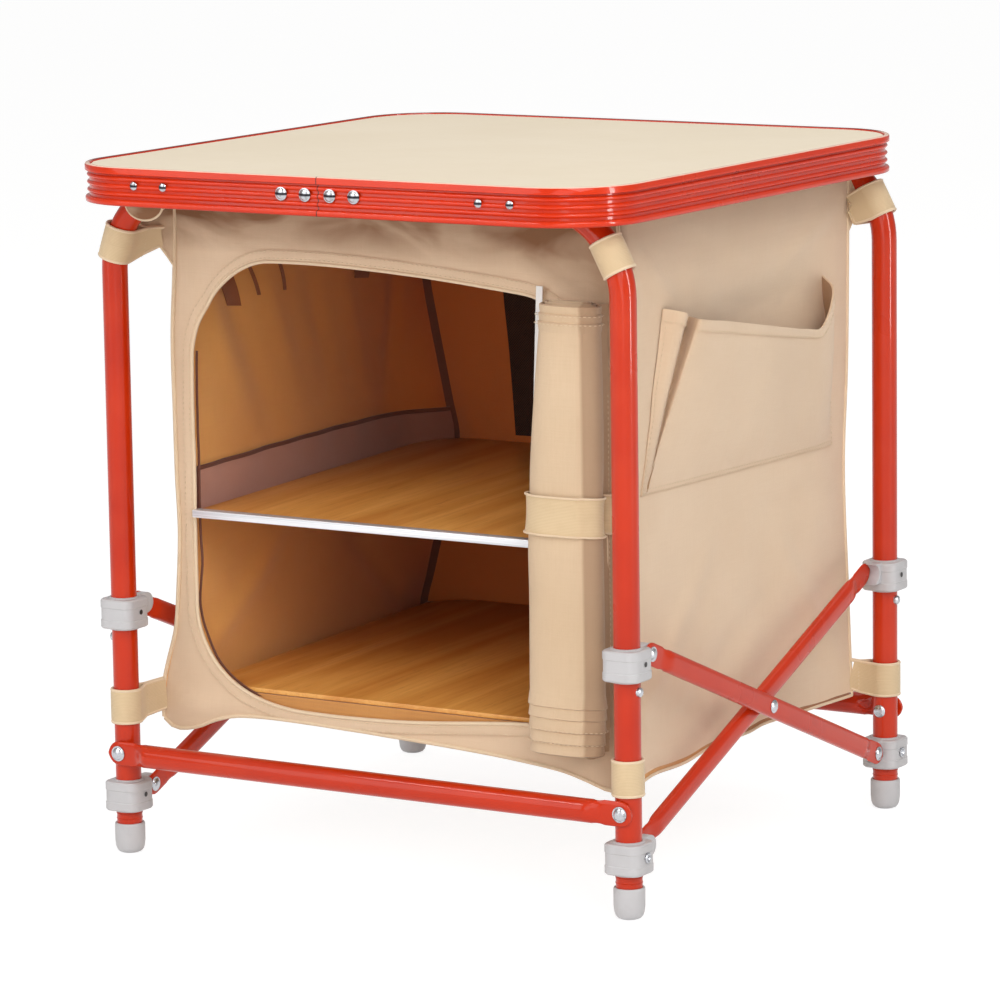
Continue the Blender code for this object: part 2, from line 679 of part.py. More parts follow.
def rim_rivets(obj, xs, end, head, inner_face):
    """Rivets fused to an inner piece, each with its head on the rim's ridges."""
    bm = bmesh.new()
    seat = RIM_RIDGE_DEPTH - GAP
    for x in xs:
        start = (x, end * (HALF_TOP_Y - seat), RIM_RIVET_HEIGHT)
        rivet(bm, start, (0, -end, 0), inner_face - seat, RIM_RIVET_RADIUS, head, RIM_RIVET_HEAD_HEIGHT, False)
    combine(obj, bm, "UNION")


def table_board(body, materials):
    inset = RIM_INSET + GAP
    half_x = HALF_TOP_X - inset
    half_y = HALF_TOP_Y - inset
    radius = RIM_CORNER_RADIUS - inset
    bm = bmesh.new()
    outline = rounded_rectangle((-half_x, -half_y), (half_x, half_y), [radius] * 4, RIM_CORNER_STEPS)
    prism(bm, outline, "Z", BOARD_UNDERSIDE, BOARD_TOP)
    add_object("table_board", bm, body, materials["board_laminate"])


def rim_splice(body, materials):
    """A flat bar inside the rim that joins its two ends at the front."""
    face = RIM_INSET + GAP
    low = TOP_HEIGHT - RIM_HEIGHT + SPLICE_THICKNESS
    outline = [
        (face - HALF_TOP_Y, low),
        (face + SPLICE_THICKNESS - HALF_TOP_Y, low),
        (face + SPLICE_THICKNESS - HALF_TOP_Y, LEDGE_UNDERSIDE - GAP),
        (face - HALF_TOP_Y, LEDGE_UNDERSIDE - GAP),
    ]
    bm = bmesh.new()
    prism(bm, outline, "X", -SPLICE_LENGTH / 2, SPLICE_LENGTH / 2)
    plate = add_object("rim_splice", bm, body, materials["bright_steel"])
    rim_rivets(plate, SPLICE_RIVETS_X, -1, SPLICE_RIVET_HEAD, face + SPLICE_THICKNESS / 2)


def tube_clip(name, side, end, body, materials):
    """A clip riveted inside the rim, whose saddle sits over the frame's cross run."""
    wall = RIM_INSET + GAP
    axis_inset = HALF_TOP_Y - end * leg_y(end)
    saddle = TUBE_RADIUS + SADDLE_CLEARANCE
    reach = math.sqrt(saddle**2 - SADDLE_START**2)
    angle = math.degrees(math.atan2(SADDLE_START, reach))
    low = RUN_HEIGHT + SADDLE_START
    past_ledge = RIM_INSET + RIM_LEDGE_WIDTH + GAP
    far = axis_inset + reach + CLIP_SADDLE_WALL
    outline = [
        (wall, RUN_HEIGHT - CLIP_DEPTH_BELOW_AXIS),
        (wall, LEDGE_UNDERSIDE - GAP),
        (past_ledge, LEDGE_UNDERSIDE - GAP),
        (past_ledge, BOARD_UNDERSIDE - GAP),
        (far, BOARD_UNDERSIDE - GAP),
        (far, low),
        *arc((axis_inset, RUN_HEIGHT), saddle, angle, 180 - angle, 8),
        (wall + CLIP_WALL_PLATE, low),
        (wall + CLIP_WALL_PLATE, RUN_HEIGHT - CLIP_DEPTH_BELOW_AXIS),
    ]
    centre = side * CLIP_CENTRE_X
    bm = bmesh.new()
    placed = [(end * (HALF_TOP_Y - inset), height) for inset, height in outline]
    prism(bm, placed, "X", centre - CLIP_LENGTH / 2, centre + CLIP_LENGTH / 2)
    clip = add_object(name, bm, body, materials["grey_plastic"])
    rim_rivets(clip, clip_rivets_x(side), end, CLIP_RIVET_HEAD, wall + CLIP_WALL_PLATE / 2)


def bag_front(body, materials):
    """The front panel with its large round-cornered mouth."""
    bm = bmesh.new()
    outline = [(-HALF_BAG, BAG_BOTTOM), (HALF_BAG, BAG_BOTTOM), (HALF_BAG, BAG_TOP), (-HALF_BAG, BAG_TOP)]
    prism(bm, outline, "Y", BAG_FRONT, BAG_FRONT + FABRIC)
    panel = add_object("bag_front_panel", bm, body, materials["bag_fabric"])
    mouth = bmesh.new()
    low, high = (-HALF_MOUTH, MOUTH_BOTTOM), (HALF_MOUTH, MOUTH_TOP)
    outline = rounded_rectangle(low, high, [MOUTH_RADIUS] * 4, 7)
    prism(mouth, outline, "Y", BAG_FRONT - FABRIC, BAG_FRONT + 2 * FABRIC)
    combine(panel, mouth, "DIFFERENCE")


def bag_wall(name, side, body, materials):
    bm = bmesh.new()
    front = BAG_FRONT + FABRIC + GAP
    back = BAG_BACK - FABRIC - GAP
    outline = [(front, BAG_BOTTOM), (back, BAG_BOTTOM), (back, BAG_TOP), (front, BAG_TOP)]
    prism(bm, outline, "X", side * WALL_INSIDE, side * HALF_BAG)
    add_object(name, bm, body, materials["bag_fabric"])


def bag_back(body, materials):
    bm = bmesh.new()
    outline = [(-HALF_BAG, BAG_BOTTOM), (HALF_BAG, BAG_BOTTOM), (HALF_BAG, BAG_TOP), (-HALF_BAG, BAG_TOP)]
    prism(bm, outline, "Y", BAG_BACK - FABRIC, BAG_BACK)
    add_object("bag_back_panel", bm, body, materials["bag_fabric"])


def shelf_matrix(front, top):
    """From shelf coordinates, with the front edge of a board's upper face at zero, to the world."""
    return Matrix.Translation((0, front, top)) @ Matrix.Rotation(SHELF_SLOPE, 4, "X")


def shelf_depth(front):
    return (SHELF_BACK - front) / math.cos(SHELF_SLOPE)


def place(bm, matrix):
    bmesh.ops.transform(bm, matrix=matrix, verts=bm.verts)


def bag_floor(body, materials):
    """The fabric floor that carries the bottom board."""
    half = WALL_INSIDE - GAP
    low = -SHELF_THICKNESS - GAP - FABRIC
    front = FLOOR_MARGIN - SHELF_FRONT_MARGIN
    back = shelf_depth(BOTTOM_SHELF_FRONT) + SHELF_BACK_MARGIN - FLOOR_MARGIN
    bm = bmesh.new()
    prism(bm, [(-half, front), (half, front), (half, back), (-half, back)], "Z", low, low + FABRIC)
    place(bm, shelf_matrix(BOTTOM_SHELF_FRONT, BOTTOM_SHELF_TOP))
    add_object("bag_floor", bm, body, materials["bag_fabric"])


def shelf_board(name, front, top, front_inset, body, materials):
    bm = bmesh.new()
    radii = (SHELF_CORNER_RADIUS, SHELF_CORNER_RADIUS, EDGE_WALL, EDGE_WALL)
    outline = rounded_rectangle((-HALF_SHELF, front_inset), (HALF_SHELF, shelf_depth(front)), radii, 5)
    prism(bm, outline, "Z", -SHELF_THICKNESS, 0)
    place(bm, shelf_matrix(front, top))
    add_object(name, bm, body, materials["shelf_wood"])


def shelf_edge(body, materials):
    """A channel slipped over the middle board's front edge."""
    above = GAP + EDGE_WALL
    below = -SHELF_THICKNESS - GAP - EDGE_WALL
    outline = [
        (0, below),
        (EDGE_DEPTH, below),
        (EDGE_DEPTH, below + EDGE_WALL),
        (EDGE_WALL, below + EDGE_WALL),
        (EDGE_WALL, above - EDGE_WALL),
        (EDGE_DEPTH, above - EDGE_WALL),
        (EDGE_DEPTH, above),
        (0, above),
    ]
    bm = bmesh.new()
    prism(bm, outline, "X", -HALF_SHELF, HALF_SHELF)
    place(bm, shelf_matrix(MID_SHELF_FRONT, MID_SHELF_TOP))
    add_object("mid_shelf_edge", bm, body, materials["edge_trim"])


def shelf_sling(name, side, body, materials):
    """A band along the wall, turned in under the middle board."""
    outer = WALL_INSIDE - GAP
    lip = -SHELF_THICKNESS - GAP
    outline = [
        (outer, SLING_RISE),
        (outer - SLING_THICKNESS, SLING_RISE),
        (outer - SLING_THICKNESS, lip),
        (outer - SLING_LIP, lip),
        (outer - SLING_LIP, lip - SLING_THICKNESS),
        (outer, lip - SLING_THICKNESS),
    ]
    start = BAG_FRONT + FABRIC + SLING_SETBACK - MID_SHELF_FRONT
    bm = bmesh.new()
    prism(bm, [(side * x, z) for x, z in outline], "Y", start, shelf_depth(MID_SHELF_FRONT))
    place(bm, shelf_matrix(MID_SHELF_FRONT, MID_SHELF_TOP))
    add_object(name, bm, body, materials["brown_lining"])


def door_roll(body, materials):
    """The door rolled up beside the mouth and sewn to the panel, drawn in where the tie holds it."""
    middle = TIE_BOTTOM + TIE_HEIGHT / 2
    stations = (
        (ROLL_BOTTOM, 1),
        (TIE_BOTTOM - TIE_HEIGHT, 1),
        (TIE_BOTTOM, ROLL_WAIST),
        (middle, ROLL_WAIST),
        (TIE_BOTTOM + TIE_HEIGHT, ROLL_WAIST),
        (TIE_BOTTOM + 2 * TIE_HEIGHT, 1),
        (ROLL_TOP, 1),
    )
    sections = []
    for height, scale in stations:
        outline = superellipse(
            (ROLL_CENTRE_X, ROLL_CENTRE_Y), ROLL_WIDTH / 2 * scale, ROLL_THICKNESS / 2 * scale, 0.7, 16
        )
        sections.append([(*point, height) for point in outline])
    bm = bmesh.new()
    loft(bm, sections)
    roll = add_object("door_roll", bm, body, materials["bag_fabric"])
    flap = bmesh.new()
    low = (ROLL_CENTRE_X + ROLL_WIDTH * ROLL_WAIST / 2 - DOOR_FLAP_INSET, ROLL_CENTRE_Y)
    high = (low[0] + FABRIC, BAG_FRONT - GAP)
    for bottom, top in ((ROLL_BOTTOM, TIE_BOTTOM), (TIE_BOTTOM + TIE_HEIGHT, ROLL_TOP)):
        prism(flap, [low, (high[0], low[1]), high, (low[0], high[1])], "Z", bottom, top)
    combine(roll, flap, "UNION")


def door_tie(body, materials):
    """The strap round the rolled door's waist."""
    centre = (ROLL_CENTRE_X, ROLL_CENTRE_Y)
    half_x = ROLL_WIDTH / 2 * ROLL_WAIST + GAP
    half_y = ROLL_THICKNESS / 2 * ROLL_WAIST + GAP
    outer_y = ROLL_CENTRE_Y + half_y + TIE_THICKNESS
    grow = (half_x + TIE_THICKNESS, half_y + TIE_THICKNESS)
    bm = bmesh.new()
    prism(bm, superellipse(centre, *grow, 0.7, 16), "Z", TIE_BOTTOM + GAP, TIE_BOTTOM + TIE_HEIGHT - GAP)
    tail = (
        (ROLL_CENTRE_X, outer_y - TIE_THICKNESS),
        (ROLL_CENTRE_X + ROLL_WIDTH / 2, outer_y - TIE_THICKNESS),
        (ROLL_CENTRE_X + ROLL_WIDTH / 2, BAG_FRONT - GAP),
        (ROLL_CENTRE_X, BAG_FRONT - GAP),
    )
    tie = add_object("door_tie", bm, body, materials["webbing"])
    sewn = bmesh.new()
    prism(sewn, tail, "Z", TIE_BOTTOM + GAP, TIE_BOTTOM + TIE_HEIGHT - GAP)
    combine(tie, sewn, "UNION")
    hollow = bmesh.new()
    inside = superellipse(centre, half_x, half_y, 0.7, 16)
    prism(hollow, inside, "Z", TIE_BOTTOM - TIE_HEIGHT, TIE_BOTTOM + 2 * TIE_HEIGHT)
    combine(tie, hollow, "DIFFERENCE")


def side_pocket(body, materials):
    """A patch sewn to the right wall along three sides, standing off it towards its top."""
    columns, rows = 10, 6
    face = HALF_BAG + GAP + POCKET_FABRIC
    fronts = [Vector((BAG_FRONT + inset, height)) for inset, height in (POCKET_BOTTOM_FRONT, POCKET_TOP_FRONT)]
    backs = [Vector((BAG_BACK - inset, height)) for inset, height in (POCKET_BOTTOM_BACK, POCKET_TOP_BACK)]
    bm = bmesh.new()
    grid = []
    for row in range(rows + 1):
        up = row / rows
        line = []
        for column in range(columns + 1):
            along = column / columns
            bulge = POCKET_BULGE * math.sin(math.pi * along) ** 0.6 * math.sin(math.pi / 2 * up) ** 0.7
            low = fronts[0].lerp(backs[0], along)
            high = fronts[1].lerp(backs[1], along)
            line.append(bm.verts.new((face + bulge, *low.lerp(high, up))))
        grid.append(line)
    for low, high in zip(grid, grid[1:]):
        for i in range(columns):
            bm.faces.new((low[i], low[i + 1], high[i + 1], high[i]))
    pocket = add_object("side_pocket", bm, body, materials["bag_fabric"])
    cloth = pocket.modifiers.new("Cloth", "SOLIDIFY")
    cloth.thickness = POCKET_FABRIC
    cloth.offset = -1


def strap(name, x, y, z, body, materials):
    """Webbing round a leg, with its tail to the bag's nearest upright corner.

    Above the start of the bend, the strap leans with the tube."""
    side = math.copysign(1, x)
    lean = math.asin(max(0.0, z - BEND_START) / BEND_RADIUS)
    facet = BEND_RADIUS * (1 - math.cos(math.pi / 4 / BEND_STEPS))
    bow = (STRAP_WIDTH / 2) ** 2 / (2 * BEND_RADIUS)
    sag = (facet + bow) / 2 + GAP if lean else 0.0
    inward = BEND_RADIUS * (1 - math.cos(lean)) + sag
    inner = TUBE_RADIUS + GAP + sag
    outer = inner + STRAP_THICKNESS
    corner = Vector((side * HALF_BAG, BAG_FRONT if y < 0 else BAG_BACK))
    centre = Vector((x - side * inward, y))
    tail = corner - centre
    angle = math.degrees(math.atan2(tail.y, tail.x))
    lean_loss = STRAP_WIDTH / 2 * math.sin(lean)
    length = tail.length - STRAP_END_GAP - lean_loss
    spread = math.degrees(math.asin(STRAP_THICKNESS / 2 / outer))
    outline = arc((0, 0), outer, angle + spread, angle + 360 - spread, TUBE_SIDES)
    along = tail.normalized()
    across = Vector((-along.y, along.x)) * STRAP_THICKNESS / 2
    outline += [tuple(along * length - across), tuple(along * length + across)]
    matrix = Matrix.Translation((*centre, z)) @ Matrix.Rotation(-side * lean, 4, "Y")
    bm = bmesh.new()
    prism(bm, outline, "Z", -STRAP_WIDTH / 2, STRAP_WIDTH / 2)
    place(bm, matrix)
    loop = add_object(name, bm, body, materials["webbing"])
    hole = bmesh.new()
    cylinder(hole, inner, (0, 0, -STRAP_WIDTH), (0, 0, STRAP_WIDTH), TUBE_SIDES)
    place(hole, matrix)
    combine(loop, hole, "DIFFERENCE")


def make_bodies():
    """The moving bodies, each with its empty on its joint's axis; the front frame is the base."""
    root = make_body("front_frame", (0, 0, 0))
    bodies = {"root": root, "top": make_body("top", (0, 0, BOARD_UNDERSIDE), root)}
    for side_name, side in SIDES:
        lower = (side * (LEG_X - BRACE_OFFSET), pivot_y(-1), LOWER_PIVOT_Z)
        inner = make_body(f"{side_name}_inner_brace", lower, root)
        centre = (side * LEG_X, FRAME_SETBACK, CENTRE_PIVOT_Z)
        outer = make_body(f"{side_name}_outer_brace", centre, inner)
        bodies[f"{side_name}_inner_brace"] = inner
        bodies[f"{side_name}_outer_brace"] = outer
        carriers = {"front": (outer, -1), "back": (inner, 1)}
        for end_name, (carrier, end) in carriers.items():
            name = f"upper_collar_{end_name}_{side_name}"
            bodies[name] = make_body(name, (side * LEG_X, pivot_y(end), UPPER_PIVOT_Z), carrier)
    hinge = (LEG_X, pivot_y(1), LOWER_PIVOT_Z)
    bodies["back_frame"] = make_body("back_frame", hinge, bodies["right_outer_brace"])
    bodies["mid_shelf"] = make_body("mid_shelf", (0, MID_SHELF_FRONT, MID_SHELF_TOP), root)
    bodies["bottom_shelf"] = make_body("bottom_shelf", (0, BOTTOM_SHELF_FRONT, BOTTOM_SHELF_TOP), root)
    for end_name, end in ENDS:
        for side_name, side in SIDES:
            name = f"snap_button_{end_name}_{side_name}"
            place_at = (side * LEG_X, leg_y(end), BUTTON_HEIGHT)
            carrier = root if end_name == "front" else bodies["back_frame"]
            bodies[name] = make_body(name, place_at, carrier)
    return bodies


def build_frames(bodies, materials):
    for end_name, end in ENDS:
        body = bodies["root"] if end_name == "front" else bodies["back_frame"]
        y = leg_y(end)
        leg_frame(f"{end_name}_leg_frame", y, end, body, materials)
        crossbar(f"{end_name}_crossbar", y, end, body, materials)
        for side_name, side in SIDES:
            x = side * LEG_X
            place_name = f"{end_name}_{side_name}"
            crossbar_rivet(f"crossbar_rivet_{place_name}", x, y, end, body, materials)
            foot_cap(f"foot_cap_{place_name}", x, y, body, materials)
            strap(f"lower_strap_{place_name}", x, y, LOWER_STRAP_HEIGHTS[side_name], body, materials)
            upper_height = TOP_HEIGHT - UPPER_STRAP_DROPS[side_name]
            strap(f"upper_strap_{place_name}", x, y, upper_height, body, materials)
            button = f"snap_button_{place_name}"
            snap_button(button, x, y, side, bodies[button], materials)
            lower_pin = -side if end_name == "front" else side
            collar(f"lower_collar_{place_name}", x, y, LOWER_COLLAR_HEIGHT, lower_pin, body, materials)
            upper = f"upper_collar_{place_name}"
            collar(upper, x, y, UPPER_COLLAR_HEIGHT, -lower_pin, bodies[upper], materials)


def build_braces(bodies, materials):
    """On each side the outer brace falls to the back, and the inner brace rises to it."""
    for side_name, side in SIDES:
        x = side * LEG_X
        for layer, direction, slope in (("inner", -1, BRACE_SLOPE), ("outer", 1, -BRACE_SLOPE)):
            name = f"{side_name}_{layer}_brace"
            brace(name, x, side * direction * BRACE_OFFSET, slope, bodies[name], materials)
        brace_rivet(f"brace_rivet_{side_name}", x, bodies[f"{side_name}_inner_brace"], materials)


def build_top(bodies, materials):
    body = bodies["top"]
    table_board(body, materials)
    table_rim(body, materials)
    rim_splice(body, materials)
    for end_name, end in ENDS:
        for side_name, side in SIDES:
            tube_clip(f"tube_clip_{end_name}_{side_name}", side, end, body, materials)


def build_bag(bodies, materials):
    root = bodies["root"]
    bag_front(root, materials)
    bag_back(bodies["back_frame"], materials)
    bag_floor(root, materials)
    for side_name, side in SIDES:
        bag_wall(f"bag_{side_name}_wall", side, root, materials)
        shelf_sling(f"shelf_sling_{side_name}", side, root, materials)
    side_pocket(root, materials)
    door_roll(root, materials)
    door_tie(root, materials)
    inset = EDGE_WALL + GAP
    shelf_board("mid_shelf", MID_SHELF_FRONT, MID_SHELF_TOP, inset, bodies["mid_shelf"], materials)
    shelf_edge(bodies["mid_shelf"], materials)
    shelf_board("bottom_shelf", BOTTOM_SHELF_FRONT, BOTTOM_SHELF_TOP, 0, bodies["bottom_shelf"], materials)


def main():
    clear_scene()
    materials = make_materials()
    bodies = make_bodies()
    build_frames(bodies, materials)
    build_braces(bodies, materials)
    build_top(bodies, materials)
    build_bag(bodies, materials)


main()
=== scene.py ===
"""Camping cupboard: a folding tube frame with a rimmed table top and a fabric cupboard slung inside it."""
from __future__ import annotations

import json
import logging
import math
from dataclasses import dataclass
from enum import Enum
from typing import Any, Callable, Sequence

import bmesh
import bpy
from mathutils import Matrix, Vector, noise

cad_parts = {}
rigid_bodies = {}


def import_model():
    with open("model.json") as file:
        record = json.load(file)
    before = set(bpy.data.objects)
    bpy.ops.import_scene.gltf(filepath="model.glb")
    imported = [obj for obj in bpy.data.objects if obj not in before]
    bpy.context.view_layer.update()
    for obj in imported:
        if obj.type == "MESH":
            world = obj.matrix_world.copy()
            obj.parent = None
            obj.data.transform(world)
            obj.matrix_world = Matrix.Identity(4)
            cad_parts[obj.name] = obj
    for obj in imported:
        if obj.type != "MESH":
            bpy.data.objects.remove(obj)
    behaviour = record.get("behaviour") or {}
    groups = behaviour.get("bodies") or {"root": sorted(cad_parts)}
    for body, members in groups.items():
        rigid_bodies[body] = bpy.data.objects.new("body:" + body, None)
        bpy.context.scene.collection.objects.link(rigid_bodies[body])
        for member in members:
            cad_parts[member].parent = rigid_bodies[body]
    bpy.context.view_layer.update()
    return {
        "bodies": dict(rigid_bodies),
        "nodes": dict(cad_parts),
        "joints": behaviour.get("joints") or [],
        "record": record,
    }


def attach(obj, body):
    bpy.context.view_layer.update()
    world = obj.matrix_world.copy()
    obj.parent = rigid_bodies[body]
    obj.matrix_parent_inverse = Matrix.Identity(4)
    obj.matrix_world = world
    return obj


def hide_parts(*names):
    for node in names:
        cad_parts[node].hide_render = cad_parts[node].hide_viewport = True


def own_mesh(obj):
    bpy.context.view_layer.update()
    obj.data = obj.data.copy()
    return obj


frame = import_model()
LOG = logging.getLogger("cupboard")

Colour = tuple[float, float, float, float]
Pair = tuple[float, float]
Socket, Material = bpy.types.NodeSocket, bpy.types.Material
Vert, Edge, Face = bmesh.types.BMVert, bmesh.types.BMEdge, bmesh.types.BMFace


class Named(Enum):
    """A choice whose name is a word in the names of pieces and nodes."""

    @property
    def word(self) -> str:
        """The word."""
        return self.name.lower()


class Side(Named):
    """The two sides of the cupboard, as the sign of X."""

    LEFT = -1
    RIGHT = 1


class End(Named):
    """The front and the back of the cupboard, as the sign of Y."""

    FRONT = -1
    BACK = 1

    @property
    def frame(self) -> str:
        """The body of the leg frame at this end."""
        return f"{self.word}_frame"


class Level(Named):
    """The two heights at which collars and straps sit on a leg."""

    LOWER = 0
    UPPER = 1


CORNERS = [(end, side) for end in End for side in Side]
UP = Vector((0, 0, 1))


# Materials


def srgb(red: int, green: int, blue: int) -> Colour:
    """Turn a screen colour into linear light.

    Args:
        red: Red from 0 to 255.
        green: Green from 0 to 255.
        blue: Blue from 0 to 255.

    Returns:
        The linear colour with full alpha.
    """
    linear = [
        value / 255 / 12.92 if value < 11 else ((value / 255 + 0.055) / 1.055) ** 2.4
        for value in (red, green, blue)
    ]
    return (*linear, 1.0)


def wire(
    tree: bpy.types.NodeTree, kind: str, inputs: dict[Any, Any], output: Any = 0, **settings: Any
) -> Socket:
    """Add a node to a tree.

    Args:
        tree: The tree.
        kind: The node's type.
        inputs: Values or sockets by input name or number.
        output: Name or number of the output that is wanted.
        settings: Properties of the node.

    Returns:
        The output socket.
    """
    made = tree.nodes.new(kind)
    for key, value in settings.items():
        setattr(made, key, value)
    for key, value in inputs.items():
        feed(tree, made.inputs[key], value)
    return made.outputs[output]


def feed(tree: bpy.types.NodeTree, socket: Socket, value: Any) -> None:
    """Link a socket to another, or set its value."""
    if isinstance(value, Socket):
        tree.links.new(value, socket)
    else:
        socket.default_value = value


class Shader:
    """One material in the making, with short calls for the nodes that it uses."""

    def __init__(self, name: str, roughness: float = 0.5, metallic: float = 0.0) -> None:
        """Start a material.

        Args:
            name: The material's name.
            roughness: Uniform roughness, unless a node is linked later.
            metallic: 1 for bare metal.
        """
        self.material = bpy.data.materials.new(name)
        self.material.use_nodes = True
        self.tree = self.material.node_tree
        self.surface = self.tree.nodes["Principled BSDF"]
        self.surface.inputs["Roughness"].default_value = roughness
        self.surface.inputs["Metallic"].default_value = metallic

    @classmethod
    def reopen(cls, material: Material) -> Shader:
        """Take up a finished material again."""
        shader = cls.__new__(cls)
        shader.material = material
        shader.tree = material.node_tree
        shader.surface = shader.tree.nodes["Principled BSDF"]
        return shader

    def node(self, kind: str, inputs: dict[Any, Any], output: Any = 0, **settings: Any) -> Socket:
        """Add a node, as wire does."""
        return wire(self.tree, kind, inputs, output, **settings)

    def place(self, scale: Sequence[float] = (1, 1, 1), cloth: bool = False, turn: float = 0.0) -> Socket:
        """Scaled coordinates of the object, or of its cloth in metres.

        Args:
            scale: Scale along each axis.
            cloth: True for the UV map.
            turn: Turn about Z in radians.

        Returns:
            The vector socket.
        """
        where = self.node("ShaderNodeTexCoord", {}, "UV" if cloth else "Object")
        return self.node("ShaderNodeMapping", {"Vector": where, "Scale": scale, "Rotation": (0, 0, turn)})

    def noise(self, where: Any, scale: float, detail: float = 3.0, distortion: float = 0.0) -> Socket:
        """Cloudy noise from 0 to 1."""
        inputs = {"Vector": where, "Scale": scale, "Detail": detail, "Distortion": distortion}
        return self.node("ShaderNodeTexNoise", inputs)

    def wave(self, where: Any, period: float, axis: str, distortion: float = 0.0) -> Socket:
        """Regular bands of one period in metres along an axis."""
        inputs = {"Vector": where, "Scale": 0.31416 / period, "Distortion": distortion, "Detail": 1.0}
        return self.node("ShaderNodeTexWave", inputs, "Fac", bands_direction=axis)

    def spread(self, value: Any, low: float, high: float, start: float = 0.0, end: float = 1.0) -> Socket:
        """Stretch the values between low and high over start to end."""
        inputs = {"Value": value, "From Min": low, "From Max": high, "To Min": start, "To Max": end}
        return self.node("ShaderNodeMapRange", inputs)

    def mix(self, share: Any, first: Any, second: Any) -> Socket:
        """Mix two colours."""
        return self.node("ShaderNodeMix", {0: share, 6: first, 7: second}, 2, data_type="RGBA")

    def sum(self, operation: str, first: Any, second: Any = 0.0) -> Socket:
        """Work out one value from two."""
        return self.node("ShaderNodeMath", {0: first, 1: second}, operation=operation)

    def axis(self, name: str) -> Socket:
        """One object coordinate in metres."""
        where = self.node("ShaderNodeTexCoord", {}, "Object")
        return self.node("ShaderNodeSeparateXYZ", {"Vector": where}, name)

    def bump(self, height: Any, distance: float, strength: float = 1.0, below: Any = None) -> Socket:
        """Raise the surface by a height map, over another bump where one is given."""
        inputs = {"Height": height, "Distance": distance, "Strength": strength}
        if below is not None:
            inputs["Normal"] = below
        return self.node("ShaderNodeBump", inputs)

    def dress(self, **values: Any) -> Material:
        """Feed the surface's inputs, named with underscores for spaces.

        Args:
            values: Values or sockets by input name.

        Returns:
            The finished material.
        """
        for key, value in values.items():
            feed(self.tree, self.surface.inputs[key.replace("_", " ")], value)
        return self.material


@dataclass(frozen=True)
class PowderCoat:
    """Glossy powder coat with a fine orange peel, a little paler where it is rubbed."""

    name: str = "powder_coat"
    main: Colour = srgb(196, 48, 9)
    deep: Colour = srgb(184, 40, 7)
    rubbed: Colour = srgb(210, 72, 38)
    peel: float = 0.000015

    def material(self) -> Material:
        """Make the material."""
        shader = Shader(self.name)
        where = shader.place()
        colour = shader.mix(shader.spread(shader.noise(where, 11.0), 0.35, 0.7), self.main, self.deep)
        wear = shader.spread(shader.noise(where, 24.0, 1.0), 0.5, 0.9, 0.0, 0.25)
        colour = shader.mix(wear, colour, self.rubbed)
        height = shader.bump(shader.noise(where, 420.0, 1.0), self.peel)
        rough = shader.spread(shader.noise(where, 18.0, 2.0), 0.3, 0.75, 0.26, 0.36)
        return shader.dress(Base_Color=colour, Roughness=rough, Normal=height, Specular_IOR_Level=0.1,
                            Coat_Weight=0.45, Coat_Roughness=0.06)


@dataclass(frozen=True)
class RimCoat(PowderCoat):
    """The same coat on the rim: its seam at the front, painted shade in its grooves, and on its lip a painted
    highlight at the front and right and painted shade at the back and left.
    """

    name: str = "rim_coat"
    main: Colour = srgb(213, 51, 9)
    deep: Colour = srgb(203, 44, 7)
    line: Colour = srgb(70, 16, 10)
    # Painted highlight and painted shade for the lip.
    pale: Colour = srgb(246, 214, 192)
    dark: Colour = srgb(116, 30, 18)
    # Painted shade for the grooves.
    grime: Colour = srgb(150, 26, 8)
    half_line: float = 0.00045
    lip_height: float = 0.5991
    groove_top: float = 0.5932
    pitch: float = 0.006375

    def material(self) -> Material:
        """Make the material."""
        shader = Shader.reopen(super().material())
        beside = shader.sum("ABSOLUTE", shader.axis("X"))
        on_line = shader.sum("LESS_THAN", beside, self.half_line)
        at_front = shader.sum("LESS_THAN", shader.axis("Y"), -0.2)
        both = shader.sum("MULTIPLY", on_line, at_front)
        coat = shader.surface.inputs["Base Color"].links[0].from_socket
        # Painted highlight on the lip at the front and right, painted shade on it at the back and left.
        lean = shader.sum("SUBTRACT", shader.axis("X"), shader.axis("Y"))
        lip = shader.mix(shader.spread(lean, -0.03, 0.005), self.dark, self.pale)
        on_lip = shader.spread(shader.axis("Z"), self.lip_height, self.lip_height + 0.0004, 0.0, 0.85)
        coat = shader.mix(on_lip, coat, lip)
        # Painted shade in the grooves below the top band.
        below = shader.sum("SUBTRACT", self.groove_top + self.pitch * 0.5, shader.axis("Z"))
        phase = shader.sum("FRACT", shader.sum("DIVIDE", below, self.pitch))
        apart = shader.sum("ABSOLUTE", shader.sum("SUBTRACT", phase, 0.5))
        under = shader.sum("LESS_THAN", shader.axis("Z"), self.groove_top + 0.0008)
        groove = shader.sum("MULTIPLY", under, shader.spread(apart, 0.10, 0.24, 0.4, 0.0))
        coat = shader.mix(groove, coat, self.grime)
        return shader.dress(Base_Color=shader.mix(both, coat, self.line))


@dataclass(frozen=True)
class MouldedPlastic:
    """Pale grey moulded nylon with a fine grain and faint scuffs."""

    name: str = "moulded_plastic"
    main: Colour = srgb(189, 187, 188)
    scuff: Colour = srgb(166, 163, 164)

    def material(self) -> Material:
        """Make the material."""
        shader = Shader(self.name)
        where = shader.place()
        marks = shader.spread(shader.noise(where, 75.0, 5.0), 0.55, 0.8, 0.0, 0.35)
        colour = shader.mix(marks, self.main, self.scuff)
        height = shader.bump(shader.noise(where, 900.0, 1.0), 0.00003)
        rough = shader.spread(shader.noise(where, 70.0), 0.3, 0.7, 0.38, 0.55)
        return shader.dress(Base_Color=colour, Roughness=rough, Normal=height)


